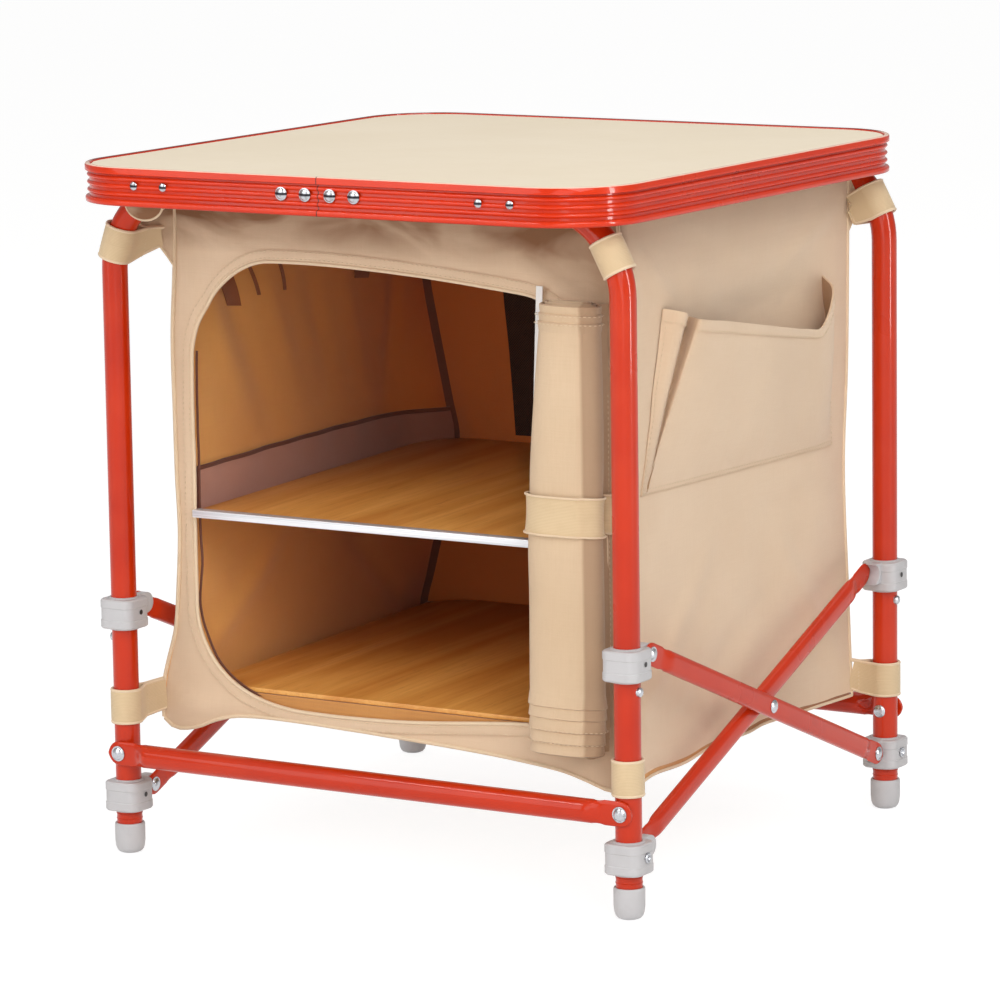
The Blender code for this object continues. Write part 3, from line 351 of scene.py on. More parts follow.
@dataclass(frozen=True)
class BrightSteel:
    """Zinc-bright steel with turning marks and small stains."""

    name: str = "bright_steel"
    main: Colour = srgb(196, 198, 203)
    stain: Colour = srgb(128, 126, 128)

    def material(self) -> Material:
        """Make the material."""
        shader = Shader(self.name, metallic=1.0)
        where = shader.place()
        stains = shader.spread(shader.noise(where, 240.0, 4.0), 0.5, 0.75)
        colour = shader.mix(stains, self.main, self.stain)
        height = shader.bump(shader.noise(shader.place((1, 1, 9)), 500.0, 2.0), 0.00004)
        rough = shader.spread(shader.noise(where, 130.0), 0.3, 0.7, 0.18, 0.36)
        return shader.dress(Base_Color=colour, Roughness=rough, Normal=height)


@dataclass(frozen=True)
class RivetSteel(BrightSteel):
    """The same steel on the rim's rivets, with a painted dark reflection in a band across their middles."""

    name: str = "rivet_steel"
    tarnish: Colour = srgb(46, 44, 50)
    height: float = 0.5849

    def material(self) -> Material:
        """Make the material."""
        shader = Shader.reopen(super().material())
        # Painted reflection: a dark band across the middle of each dome.
        away = shader.sum("ABSOLUTE", shader.sum("SUBTRACT", shader.axis("Z"), self.height))
        bright = shader.surface.inputs["Base Color"].links[0].from_socket
        band = shader.spread(away, 0.0006, 0.0016)
        return shader.dress(Base_Color=shader.mix(band, self.tarnish, bright))


@dataclass(frozen=True)
class Laminate:
    """Cream table laminate with a very faint fibre and a fine texture."""

    name: str = "cream_laminate"
    main: Colour = srgb(234, 221, 199)
    fibre: Colour = srgb(224, 209, 184)

    def material(self) -> Material:
        """Make the material."""
        shader = Shader(self.name)
        where = shader.place()
        clouds = shader.spread(shader.noise(where, 7.0, 5.0), 0.35, 0.7, 0.0, 0.3)
        colour = shader.mix(clouds, self.main, self.fibre)
        fibres = shader.spread(shader.noise(shader.place((0.25, 3.0, 1)), 160.0, 4.0), 0.58, 0.75, 0.0, 0.5)
        colour = shader.mix(fibres, colour, self.fibre)
        height = shader.bump(shader.noise(where, 1100.0, 2.0), 0.00003)
        rough = shader.spread(shader.noise(where, 14.0, 4.0), 0.3, 0.7, 0.62, 0.75)
        return shader.dress(Base_Color=colour, Roughness=rough, Normal=height, Specular_IOR_Level=0.08)


@dataclass(frozen=True)
class Canvas:
    """Plain-woven cloth: warp and weft in its UV map, thick threads and soft blotches, with painted shadow
    under the rim and painted shade beside the roll and towards the back.
    """

    name: str
    main: Colour
    shade: Colour
    period: float = 0.0009
    depth: float = 0.00016
    # A colour of painted shade that deepens towards the back, where one is given.
    back: Colour | None = None
    # The colour of the painted shadow under the rim and of the painted shade beside the roll.
    under_rim: Colour = srgb(130, 84, 46)
    # Share and X band of the painted shade beside the roll.
    beside_roll: float = 0.0
    fold: Pair = (0.1975, 0.1998)

    def material(self) -> Material:
        """Make the material."""
        shader = Shader(self.name, 0.82)
        cloth = shader.place(cloth=True)
        warp = shader.wave(cloth, self.period, "X", 0.6)
        weft = shader.wave(cloth, self.period, "Y", 0.6)
        weave = shader.sum("MAXIMUM", warp, weft)
        slubs = shader.noise(shader.place((900, 35, 1), cloth=True), 1.0, 2.0)
        picks = shader.noise(shader.place((35, 900, 1), cloth=True), 1.0, 2.0)
        threads = shader.sum("ADD", slubs, picks)
        blotch = shader.spread(shader.noise(shader.place(), 9.0, 5.0), 0.3, 0.72, 0.0, 0.5)
        colour = shader.mix(blotch, self.main, self.shade)
        colour = shader.mix(shader.spread(threads, 0.85, 1.3, 0.0, 0.22), colour, self.shade)
        # Painted shade: darker towards the back.
        if self.back is not None:
            depth = shader.spread(shader.axis("Y"), -0.12, 0.23, 0.0, 0.85)
            colour = shader.mix(depth, colour, self.back)
        # Painted shadow under the rim at the front, in streaks, reaching lower towards the roll.
        at_front = shader.spread(shader.axis("Y"), -0.162, -0.150, 1.0, 0.25)
        beyond = shader.spread(shader.axis("X"), 0.120, 0.215, 0.0, 0.034)
        past_roll = shader.sum("MULTIPLY", beyond, at_front)
        patches = shader.noise(shader.place((11, 1, 26)), 1.0, 3.0, 0.8)
        streaks = shader.spread(patches, 0.36, 0.60, 0.45, 1.0)
        soil_and_shadow = shader.spread(shader.sum("ADD", shader.axis("Z"), past_roll), 0.518, 0.548, 0.0, 0.95)
        soil_and_shadow = shader.sum("MULTIPLY", shader.sum("MULTIPLY", soil_and_shadow, streaks), at_front)
        colour = shader.mix(soil_and_shadow, colour, self.under_rim)
        # Painted shade in a band beside the roll, at the front only.
        roll_shade = shader.spread(shader.axis("X"), *self.fold, 0.0, self.beside_roll)
        roll_shade = shader.sum("MULTIPLY", roll_shade, shader.spread(shader.axis("Y"), -0.162, -0.158, 1.0, 0.0))
        colour = shader.mix(roll_shade, colour, self.under_rim)
        height = shader.bump(weave, self.depth)
        height = shader.bump(threads, self.depth, 0.5, height)
        height = shader.bump(shader.noise(shader.place(), 38.0, 4.0), 0.0012, 0.35, height)
        return shader.dress(Base_Color=colour, Normal=height, Sheen_Weight=0.25, Sheen_Roughness=0.5)


@dataclass(frozen=True)
class Webbing:
    """Close-ribbed webbing with its ribs along the strap."""

    name: str
    main: Colour
    shade: Colour
    rib: float = 0.0012

    def material(self) -> Material:
        """Make the material."""
        shader = Shader(self.name, 0.78)
        cloth = shader.place(cloth=True)
        ribs = shader.wave(cloth, self.rib, "Y", 0.3)
        picks = shader.wave(cloth, self.rib * 0.6, "X", 0.8)
        both = shader.sum("MULTIPLY", ribs, shader.spread(picks, 0.0, 1.0, 0.5, 1.0))
        colour = shader.mix(shader.spread(both, 0.0, 0.4, 0.45, 1.0), self.shade, self.main)
        soil_and_shadow = shader.spread(shader.noise(shader.place(), 55.0, 5.0), 0.5, 0.8, 0.0, 0.4)
        colour = shader.mix(soil_and_shadow, colour, self.shade)
        height = shader.bump(both, 0.00014)
        return shader.dress(Base_Color=colour, Normal=height, Sheen_Weight=0.2)


@dataclass(frozen=True)
class ShelfWood:
    """Wood-grained board: streaks from front to back, and painted shade that darkens it towards the back."""

    name: str = "shelf_wood"
    main: Colour = srgb(236, 176, 92)
    streak: Colour = srgb(206, 136, 58)
    pore: Colour = srgb(150, 86, 34)
    back: Colour = srgb(122, 50, 22)

    def material(self) -> Material:
        """Make the material."""
        shader = Shader(self.name)
        broad = shader.noise(shader.place((26, 1.6, 26)), 1.0, 5.0, 0.7)
        fine = shader.noise(shader.place((240, 7, 240)), 1.0, 5.0, 0.3)
        pores = shader.noise(shader.place((900, 24, 900)), 1.0, 2.0)
        colour = shader.mix(shader.spread(broad, 0.36, 0.66), self.main, self.streak)
        colour = shader.mix(shader.spread(fine, 0.45, 0.7, 0.0, 0.6), colour, self.streak)
        colour = shader.mix(shader.spread(pores, 0.64, 0.74, 0.0, 0.55), colour, self.pore)
        # Painted shade: the board darkens towards the back.
        colour = shader.mix(shader.spread(shader.axis("Y"), -0.05, 0.24, 0.0, 0.75), colour, self.back)
        height = shader.bump(fine, 0.00008)
        height = shader.bump(pores, 0.00008, 0.6, height)
        rough = shader.spread(broad, 0.3, 0.7, 0.32, 0.5)
        return shader.dress(Base_Color=colour, Roughness=rough, Normal=height, Coat_Weight=0.15)


@dataclass(frozen=True)
class BrushedTrim:
    """Silvery white channel with drawing lines along X."""

    name: str = "edge_trim"
    main: Colour = srgb(232, 233, 236)
    line: Colour = srgb(186, 188, 194)

    def material(self) -> Material:
        """Make the material."""
        shader = Shader(self.name, 0.3, 0.35)
        lines = shader.noise(shader.place((6, 1500, 1500)), 1.0, 3.0)
        colour = shader.mix(shader.spread(lines, 0.45, 0.75), self.main, self.line)
        return shader.dress(Base_Color=colour, Normal=shader.bump(lines, 0.00005))


@dataclass(frozen=True)
class Netting:
    """Dark knitted netting, with painted shade in its holes as darker dots between the threads."""

    name: str = "dark_netting"
    thread: Colour = srgb(72, 46, 34)
    hole: Colour = srgb(18, 10, 8)
    period: float = 0.0018

    def material(self) -> Material:
        """Make the material."""
        shader = Shader(self.name, 0.9)
        cloth = shader.place(cloth=True, turn=math.radians(45))
        across = shader.wave(cloth, self.period, "X")
        along = shader.wave(cloth, self.period, "Y")
        mesh = shader.sum("MAXIMUM", across, along)
        # Painted shade: the holes show as near-black dots for the shaded inside seen through them.
        colour = shader.mix(shader.spread(mesh, 0.5, 0.85), self.hole, self.thread)
        return shader.dress(Base_Color=colour, Normal=shader.bump(mesh, 0.0005))


class Palette:
    """Every finish of the cupboard, made once."""

    def __init__(self) -> None:
        """Make every material."""
        self.coat = PowderCoat().material()
        self.rim = RimCoat().material()
        self.plastic = MouldedPlastic().material()
        self.steel = BrightSteel().material()
        self.laminate = Laminate().material()
        # The main canvas, with painted shade in a band beside the roll.
        self.canvas = Canvas("bag_canvas", srgb(226, 199, 168), srgb(211, 180, 146), beside_roll=0.5,
                             fold=(0.188, 0.216)).material()
        # Painted light and shade: the inside of the same canvas, warmer and brighter for light through the
        # cloth and bounced inside, and darker towards the back.
        self.lining = Canvas("bag_lining", srgb(243, 180, 98), srgb(224, 152, 70),
                             back=srgb(190, 88, 20)).material()
        self.webbing = Webbing("strap_webbing", srgb(214, 188, 149), srgb(194, 166, 126)).material()
        self.piping = Webbing("edge_piping", srgb(228, 204, 172), srgb(208, 180, 144), 0.0012).material()
        # The sling's own colour, with painted shade darker towards the back.
        self.sling = Canvas("sling_cloth", srgb(206, 153, 133), srgb(178, 126, 108), 0.0008,
                            back=srgb(136, 82, 64)).material()
        # Painted shade: a darker copy of the canvas for the pocket's inside.
        self.pocket_inside = Canvas("pocket_inside", srgb(184, 142, 100), srgb(160, 116, 78)).material()
        # Painted shade: a darker copy of the inside colour for the floor's upper face, darker still towards
        # the back.
        self.floor_lining = Canvas("floor_lining", srgb(200, 140, 72), srgb(176, 114, 50),
                                   back=srgb(120, 60, 22)).material()
        # Painted shade: a darker copy of the canvas for the rolled door, with painted shade in a band at its
        # right.
        self.door = Canvas("door_canvas", srgb(214, 187, 154), srgb(199, 169, 134),
                           beside_roll=0.5).material()
        self.tab = Webbing("tab_webbing", srgb(156, 92, 54), srgb(116, 62, 34), 0.0009).material()
        self.rivet = RivetSteel().material()
        self.binding = Webbing("dark_binding", srgb(112, 62, 42), srgb(74, 36, 24), 0.0011).material()
        self.wood = ShelfWood().material()
        self.trim = BrushedTrim().material()
        self.netting = Netting().material()
        self.tape = Webbing("white_tape", srgb(240, 238, 234), srgb(206, 202, 198), 0.0009).material()
        self.thread = Webbing("stitch_thread", srgb(238, 220, 190), srgb(196, 166, 128), 0.0005).material()
        # Painted shade: near-black discs stand in for the shade inside small holes.
        self.hollow = MouldedPlastic("dark_hollow", srgb(46, 42, 42), srgb(20, 18, 18)).material()


# Shapes


def follow(points: Sequence[Pair], at: float) -> float:
    """Read a smooth line through a row of points.

    Args:
        points: (place, value) pairs in rising order of place.
        at: The place to read.

    Returns:
        The value there, held level past either end.
    """
    if at <= points[0][0]:
        return points[0][1]
    for index, ((start, low), (end, high)) in enumerate(zip(points, points[1:])):
        if at <= end:
            before = points[max(index - 1, 0)]
            after = points[min(index + 2, len(points) - 1)]
            span = end - start
            first = (high - before[1]) / (end - before[0]) * span
            last = (after[1] - low) / (after[0] - start) * span
            share = (at - start) / span
            bend = (first - 2 * (high - low) + last) * share + 3 * (high - low) - 2 * first - last
            return low + share * (first + share * bend)
    return points[-1][1]


def smooth(value: float) -> float:
    """Ease a share from 0 to 1."""
    share = min(max(value, 0.0), 1.0)
    return share * share * (3 - 2 * share)


def rounded(value: float, power: float) -> float:
    """Raise a value to a power and keep its sign."""
    return math.copysign(abs(value) ** power, value)


def within(value: float, limit: float) -> float:
    """Hold a value between a limit and its negative."""
    return min(max(value, -limit), limit)


def outline_arc(centre: Pair, radius: float, start: float, end: float, steps: int) -> list[Pair]:
    """Points of an arc in degrees, both ends included."""
    angles = [math.radians(start + (end - start) * step / steps) for step in range(steps + 1)]
    return [(centre[0] + radius * math.cos(a), centre[1] + radius * math.sin(a)) for a in angles]


def facing(centre: Vector, direction: Sequence[float]) -> Matrix:
    """A frame at a centre whose Z points in a direction."""
    turn = UP.rotation_difference(Vector(direction).normalized())
    return Matrix.Translation(centre) @ turn.to_matrix().to_4x4()


def path_frames(points: Sequence[Vector], across: Vector, half: Pair, fixed: bool = False) -> list[Matrix]:
    """Frames along a path, with Z along it.

    Args:
        points: The path.
        across: Direction of the section's X.
        half: Half sizes of the section along X and Y.
        fixed: True to keep the section's X in one direction all the way.

    Returns:
        One matrix for each point.
    """
    frames = []
    side = across
    for index, point in enumerate(points):
        before = points[max(index - 1, 0)]
        after = points[min(index + 1, len(points) - 1)]
        along = (after - before).normalized()
        base = across if fixed else side
        side = (base - along * base.dot(along)).normalized()
        out = along.cross(side)
        matrix = Matrix((side * half[0], out * half[1], along)).transposed().to_4x4()
        matrix.translation = point
        frames.append(matrix)
    return frames


def resample(points: Sequence[Vector], pitch: float) -> list[tuple[Vector, Vector]]:
    """Even steps along a path.

    Args:
        points: The path.
        pitch: Distance between two steps.

    Returns:
        (place, direction) pairs.
    """
    steps = []
    left = pitch / 2
    for start, end in zip(points, points[1:]):
        length = (end - start).length
        while left < length:
            steps.append((start.lerp(end, left / length), (end - start).normalized()))
            left += pitch
        left -= length
    return steps


def length_of(points: Sequence[Vector]) -> float:
    """Length of a path."""
    return sum((end - start).length for start, end in zip(points, points[1:]))


class Shape:
    """One mesh in the making, with the cloth length and girth that its weave follows."""

    def __init__(self) -> None:
        """Start an empty mesh."""
        self.bm = bmesh.new()
        self.along = self.bm.verts.layers.float.new("along")
        self.girth = self.bm.verts.layers.float.new("girth")
        self.uv = self.bm.loops.layers.uv.new("UVMap")

    def ring_edges(self, verts: Sequence[Vert]) -> list[Edge]:
        """The edges among some vertices, in a fixed order."""
        self.bm.edges.index_update()
        chosen = set(verts)
        found = {edge for vert in verts for edge in vert.link_edges if edge.other_vert(vert) in chosen}
        return sorted(found, key=lambda edge: edge.index)

    def ring(self, segments: int, power: float = 1.0) -> list[Vert]:
        """A unit circle, or a boxier ring where the power is under 1."""
        verts = bmesh.ops.create_circle(self.bm, cap_ends=False, segments=segments, radius=1.0)["verts"]
        for vert in verts:
            vert.co.x = rounded(vert.co.x, power)
            vert.co.y = rounded(vert.co.y, power)
        return verts

    def lay_pattern(self, faces: Sequence[Face], girth: float = math.inf) -> None:
        """Write the UV map of some faces from their cloth lengths.

        Args:
            faces: The faces.
            girth: The length round at which the cloth closes on itself.
        """
        for face in faces:
            values = [loop.vert[self.girth] for loop in face.loops]
            wraps = max(values) - min(values) > girth / 2
            for loop in face.loops:
                around = loop.vert[self.girth]
                if wraps and around < girth / 2:
                    around += girth
                loop[self.uv].uv = (loop.vert[self.along], around)

    def sweep(self, ring: Sequence[Vert], frames: Sequence[Matrix]) -> None:
        """Carry a ring drawn round the origin through a row of frames, and close both ends.

        Args:
            ring: The section.
            frames: The frames.
        """
        bmesh.ops.transform(self.bm, matrix=frames[len(frames) // 2], verts=ring)
        girth = 0.0
        for vert, after in zip(ring, [*ring[1:], ring[0]]):
            vert[self.girth] = girth
            girth += (after.co - vert.co).length
        bmesh.ops.transform(self.bm, matrix=frames[0] @ frames[len(frames) // 2].inverted(), verts=ring)
        first = edges = self.ring_edges(ring)
        faces: list[Face] = []
        length = 0.0
        for before, after in zip(frames, frames[1:]):
            made = bmesh.ops.extrude_edge_only(self.bm, edges=edges)["geom"]
            verts = [item for item in made if isinstance(item, Vert)]
            faces += [item for item in made if isinstance(item, Face)]
            length += (after.translation - before.translation).length
            bmesh.ops.transform(self.bm, matrix=after @ before.inverted(), verts=verts)
            for vert in verts:
                vert[self.along] = length
            edges = self.ring_edges(verts)
        for loop in (first, edges):
            faces += bmesh.ops.edgeloop_fill(self.bm, edges=loop)["faces"]
        self.lay_pattern(faces, girth)
        bmesh.ops.recalc_face_normals(self.bm, faces=faces)

    def tube(self, points: Sequence[Vector], radius: float, segments: int = 8) -> None:
        """A round tube or cord along a path."""
        along = (points[1] - points[0]).normalized()
        across = UP if abs(along.z) < 0.8 else Vector((0, 1, 0))
        self.sweep(self.ring(segments), path_frames(points, across, (radius, radius)))

    def ribbon(
        self, points: Sequence[Vector], wide: Vector, widths: float | Sequence[float], thickness: float
    ) -> None:
        """A flat band along a path.

        Args:
            points: The path.
            wide: Direction of its width.
            widths: Its width, or one for each point.
            thickness: Its thickness.
        """
        rows = [widths] * len(points) if isinstance(widths, float) else widths
        frames = path_frames(points, wide, (0.5, thickness / 2), fixed=True)
        scaled = [frame @ Matrix.Diagonal((row, 1, 1, 1)) for frame, row in zip(frames, rows)]
        self.sweep(self.ring(16, 0.4), scaled)

    def lathe(self, profile: Sequence[Pair], matrix: Matrix, steps: int = 24) -> None:
        """Turn a (radius, height) profile about a frame's Z."""
        old_verts, old_faces = set(self.bm.verts), set(self.bm.faces)
        verts = [self.bm.verts.new((radius, 0, height)) for radius, height in profile]
        edges = [self.bm.edges.new(pair) for pair in zip(verts, verts[1:])]
        bmesh.ops.spin(self.bm, geom=[*verts, *edges], cent=(0, 0, 0), axis=UP, angle=2 * math.pi,
                       steps=steps, use_merge=True)
        made = [vert for vert in self.bm.verts if vert not in old_verts]
        bmesh.ops.remove_doubles(self.bm, verts=made, dist=1e-6)
        made = [vert for vert in self.bm.verts if vert not in old_verts]
        bmesh.ops.transform(self.bm, matrix=matrix, verts=made)
        faces = [face for face in self.bm.faces if face not in old_faces]
        bmesh.ops.recalc_face_normals(self.bm, faces=faces)

    def dome(self, centre: Vector, direction: Sequence[float], radius: float, height: float) -> None:
        """A domed rivet head with a rolled rim that stands on a surface."""
        profile = ((0, height), (radius * 0.4, height * 0.93), (radius * 0.7, height * 0.72),
                   (radius * 0.9, height * 0.4), (radius, height * 0.12), (radius * 0.97, -0.0002),
                   (0, -0.0002))
        self.lathe(profile, facing(centre, direction), 20)

    def washer(
        self, centre: Vector, direction: Sequence[float], radii: Pair, heights: Sequence[float]
    ) -> None:
        """A thin washer under a rivet head.

        Args:
            centre: The middle of its seat.
            direction: The way that it faces.
            radii: Its outer radius, and the one at which it goes under the head.
            heights: Its lower edge, its upper edge and its top.
        """
        profile = ((radii[0], heights[0]), (radii[0], heights[1]), (radii[1], heights[2]))
        self.lathe(profile, facing(centre, direction))

    def plate(self, outline: Sequence[Pair], matrix: Matrix, thickness: float, rounding: float) -> None:
        """A flat plate from an outline in a frame's XY plane, centred on it, with rounded edges.

        Args:
            outline: Corner points.
            matrix: The plate's frame.
            thickness: Thickness along the frame's Z.
            rounding: Radius of the edges.
        """
        old = set(self.bm.faces)
        verts = [self.bm.verts.new((x, y, -thickness / 2)) for x, y in outline]
        face = self.bm.faces.new(verts)
        raised = bmesh.ops.extrude_face_region(self.bm, geom=[face])["geom"]
        top = [item for item in raised if isinstance(item, Vert)]
        bmesh.ops.translate(self.bm, verts=top, vec=(0, 0, thickness))
        faces = [item for item in self.bm.faces if item not in old]
        bmesh.ops.recalc_face_normals(self.bm, faces=faces)
        bmesh.ops.transform(self.bm, matrix=matrix, verts=[*verts, *top])
        self.soften(faces, rounding)

    def soften(self, faces: Sequence[Face], rounding: float) -> None:
        """Round the edges at which some faces meet sharply."""
        sharp = []
        for face in faces:
            for edge in face.edges:
                if edge not in sharp and edge.is_manifold and edge.calc_face_angle() > math.radians(40):
                    sharp.append(edge)
        bmesh.ops.bevel(self.bm, geom=sharp, offset=rounding, segments=3, profile=0.5, affect="EDGES",
                        material=-1, clamp_overlap=True)

    def cloth(
        self,
        counts: tuple[int, int],
        place: Callable[[float, float], Vector],
        size: Pair,
        rows: Sequence[float] = (),
    ) -> None:
        """A grid of cloth that a function puts in place.

        Args:
            counts: Cells along and up.
            place: From shares along and up, each 0 to 1, to a point.
            size: The cloth's flat length and height, in metres.
            rows: Shares up of the grid's rows, if they aren't even.
        """
        old = set(self.bm.faces)
        grid = bmesh.ops.create_grid(self.bm, x_segments=counts[0], y_segments=counts[1], size=0.5)
        for vert in grid["verts"]:
            along, up = vert.co.x + 0.5, vert.co.y + 0.5
            if rows:
                up = rows[round(up * counts[1])]
            vert[self.along] = along * size[0]
            vert[self.girth] = up * size[1]
            vert.co = place(along, up)
        self.lay_pattern([face for face in self.bm.faces if face not in old])

    def stitches(self, points: Sequence[Vector], pitch: float = 0.0046, length: float = 0.0031) -> None:
        """A run of raised stitches along a path."""
        size = Matrix.Diagonal((0.00042, 0.00042, length / 2, 1))
        for place, along in resample(points, pitch):
            matrix = facing(place, along) @ size
            bmesh.ops.create_icosphere(self.bm, subdivisions=1, radius=1, matrix=matrix)

    def area(self) -> float:
        """The area of all faces."""
        return sum(face.calc_area() for face in self.bm.faces)

    def face_towards(self, direction: Sequence[float]) -> None:
        """Turn an open sheet so that most of it faces a direction."""
        self.bm.normal_update()
        total = sum((face.normal * face.calc_area() for face in self.bm.faces), Vector())
        if total.dot(Vector(direction)) < 0:
            bmesh.ops.reverse_faces(self.bm, faces=self.bm.faces)


@dataclass
class Squash:
    """The joint, axis, anchor and share to keep for a soft piece that gives way when a joint moves; nothing
    here applies them.
    """

    joint: str
    axis: tuple[float, float, float]
    anchor: tuple[float, float, float]
    keep: float


FOLDING = Squash("frame_fold", (0, 1, 0), (0, -0.165, 0), 0.149)
PUSHED_ASIDE = Squash("middle_board_slide", (1, 0, 0), (0.2145, 0, 0), 0.11)


def add_piece(
    name: str,
    shape: Shape,
    finish: Material,
    body: str = "front_frame",
    node: str = "",
    thickness: float = 0.0,
    squash: Squash | None = None,
    back: Material | None = None,
    angle: float = 38.0,
) -> bpy.types.Object:
    """Make a finished object from a shape and fix it to a body.

    Args:
        name: The piece's name.
        shape: Its mesh.
        finish: Its material.
        body: The body that it rides on.
        node: The CAD node that it replaces, if it does.
        thickness: Thickness to give an open sheet behind its front.
        squash: A Squash for a piece that gives way; here it only gives the piece its own copy of its mesh.
        back: The material of a sheet's back, where that has its own.
        angle: Edges sharper than this stay sharp.

    Returns:
        The object.
    """
    mesh = bpy.data.meshes.new(name)
    shape.bm.to_mesh(mesh)
    shape.bm.free()
    for used in (finish, back) if back else (finish,):
        mesh.materials.append(used)
    piece = bpy.data.objects.new(name, mesh)
    bpy.context.scene.collection.objects.link(piece)
    if thickness:
        wall = piece.modifiers.new("Cloth", "SOLIDIFY")
        wall.thickness = thickness
        wall.offset = -1
        wall.material_offset = len(mesh.materials) - 1
        bpy.context.view_layer.update()
        graph = bpy.context.evaluated_depsgraph_get()
        solid = bpy.data.meshes.new_from_object(piece.evaluated_get(graph))
        piece.modifiers.clear()
        piece.data = solid
    piece.data.shade_smooth()
    piece.data.set_sharp_from_angle(angle=math.radians(angle))
    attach(piece, body)
    if node:
        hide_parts(node)
    if squash:
        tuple(squash.axis)
        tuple(squash.anchor)
        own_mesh(piece)
    LOG.info("%s on %s, %d faces", name, body, len(piece.data.polygons))
    return piece


def add_cloth(
    name: str,
    counts: tuple[int, int],
    place: Callable[[float, float], Vector],
    size: Pair,
    towards: Sequence[float],
    finish: Material,
    **settings: Any,
) -> bpy.types.Object:
    """Make a piece from one grid of cloth.

    Args:
        name: The piece's name.
        counts: Cells along and up.
        place: From shares along and up to a point.
        size: The cloth's flat length and height, in metres.
        towards: The way that its front faces.
        finish: Its material.
        settings: More for add_piece.

    Returns:
        The object.
    """
    shape = Shape()
    shape.cloth(counts, place, size)
    shape.face_towards(towards)
    return add_piece(name, shape, finish, **settings)


def add_cords(
    name: str,
    cords: Sequence[tuple[Sequence[Vector], float]],
    finish: Material,
    segments: int = 8,
    **settings: Any,
) -> bpy.types.Object:
    """Make a piece from cords.

    Args:
        name: The piece's name.
        cords: The path and the radius of each.
        finish: Its material.
        segments: Sides of each cord.
        settings: More for add_piece.

    Returns:
        The object.
    """
    shape = Shape()
    for points, radius in cords:
        shape.tube(points, radius, segments)
    return add_piece(name, shape, finish, **settings)


def add_stitches(
    name: str,
    runs: Sequence[Sequence[Vector]],
    finish: Material,
    stitch: Pair = (0.0046, 0.0031),
    **settings: Any,
) -> bpy.types.Object:
    """Make a piece from runs of stitches.

    Args:
        name: The piece's name.
        runs: The path of each run.
        finish: Its material.
        stitch: Distance between two stitches, and the length of one.
        settings: More for add_piece.

    Returns:
        The object.
    """
    shape = Shape()
    for points in runs:
        shape.stitches(points, *stitch)
    return add_piece(name, shape, finish, **settings)


def rounded_walls(half: Pair, corner: float, profile: Sequence[Pair], steps: int, closed: bool) -> Shape:
    """Walls round a rounded rectangle, each level set in or out along the outline's own normals.

    Args:
        half: Half the outline's width and depth.
        corner: Its corner radius.
        profile: (inset, height) of each level.
        steps: Steps round each corner.
        closed: True to join the last level to the first, False to fill both.

    Returns:
        The shape.
    """
    shape = Shape()
    core_x, core_y = half[0] - corner, half[1] - corner
    radius = corner - profile[0][0]
    verts = shape.ring(4 * (steps + 1))
    for index, vert in enumerate(verts):
        quarter, step = divmod(index, steps + 1)
        turn, middle = math.radians(90 * (quarter + step / steps)), math.radians(90 * quarter + 45)
        vert.co = (math.copysign(core_x, math.cos(middle)) + radius * math.cos(turn),
                   math.copysign(core_y, math.sin(middle)) + radius * math.sin(turn), profile[0][1])
    first = edges = shape.ring_edges(verts)
    for (before, _), (inset, height) in zip(profile, profile[1:]):
        made = bmesh.ops.extrude_edge_only(shape.bm, edges=edges)["geom"]
        verts = [item for item in made if isinstance(item, Vert)]
        for vert in verts:
            inner = Vector((within(vert.co.x, core_x), within(vert.co.y, core_y), vert.co.z))
            vert.co += (vert.co - inner).normalized() * (before - inset)
            vert.co.z = height
        edges = shape.ring_edges(verts)
    if closed:
        bmesh.ops.bridge_loops(shape.bm, edges=[*first, *edges])
    else:
        for loop in (first, edges):
            bmesh.ops.edgeloop_fill(shape.bm, edges=loop)
    bmesh.ops.recalc_face_normals(shape.bm, faces=shape.bm.faces)
    return shape


SIDEWAYS = Matrix(((0, 0, 1, 0), (1, 0, 0, 0), (0, 1, 0, 0), (0, 0, 0, 1)))


# The frame


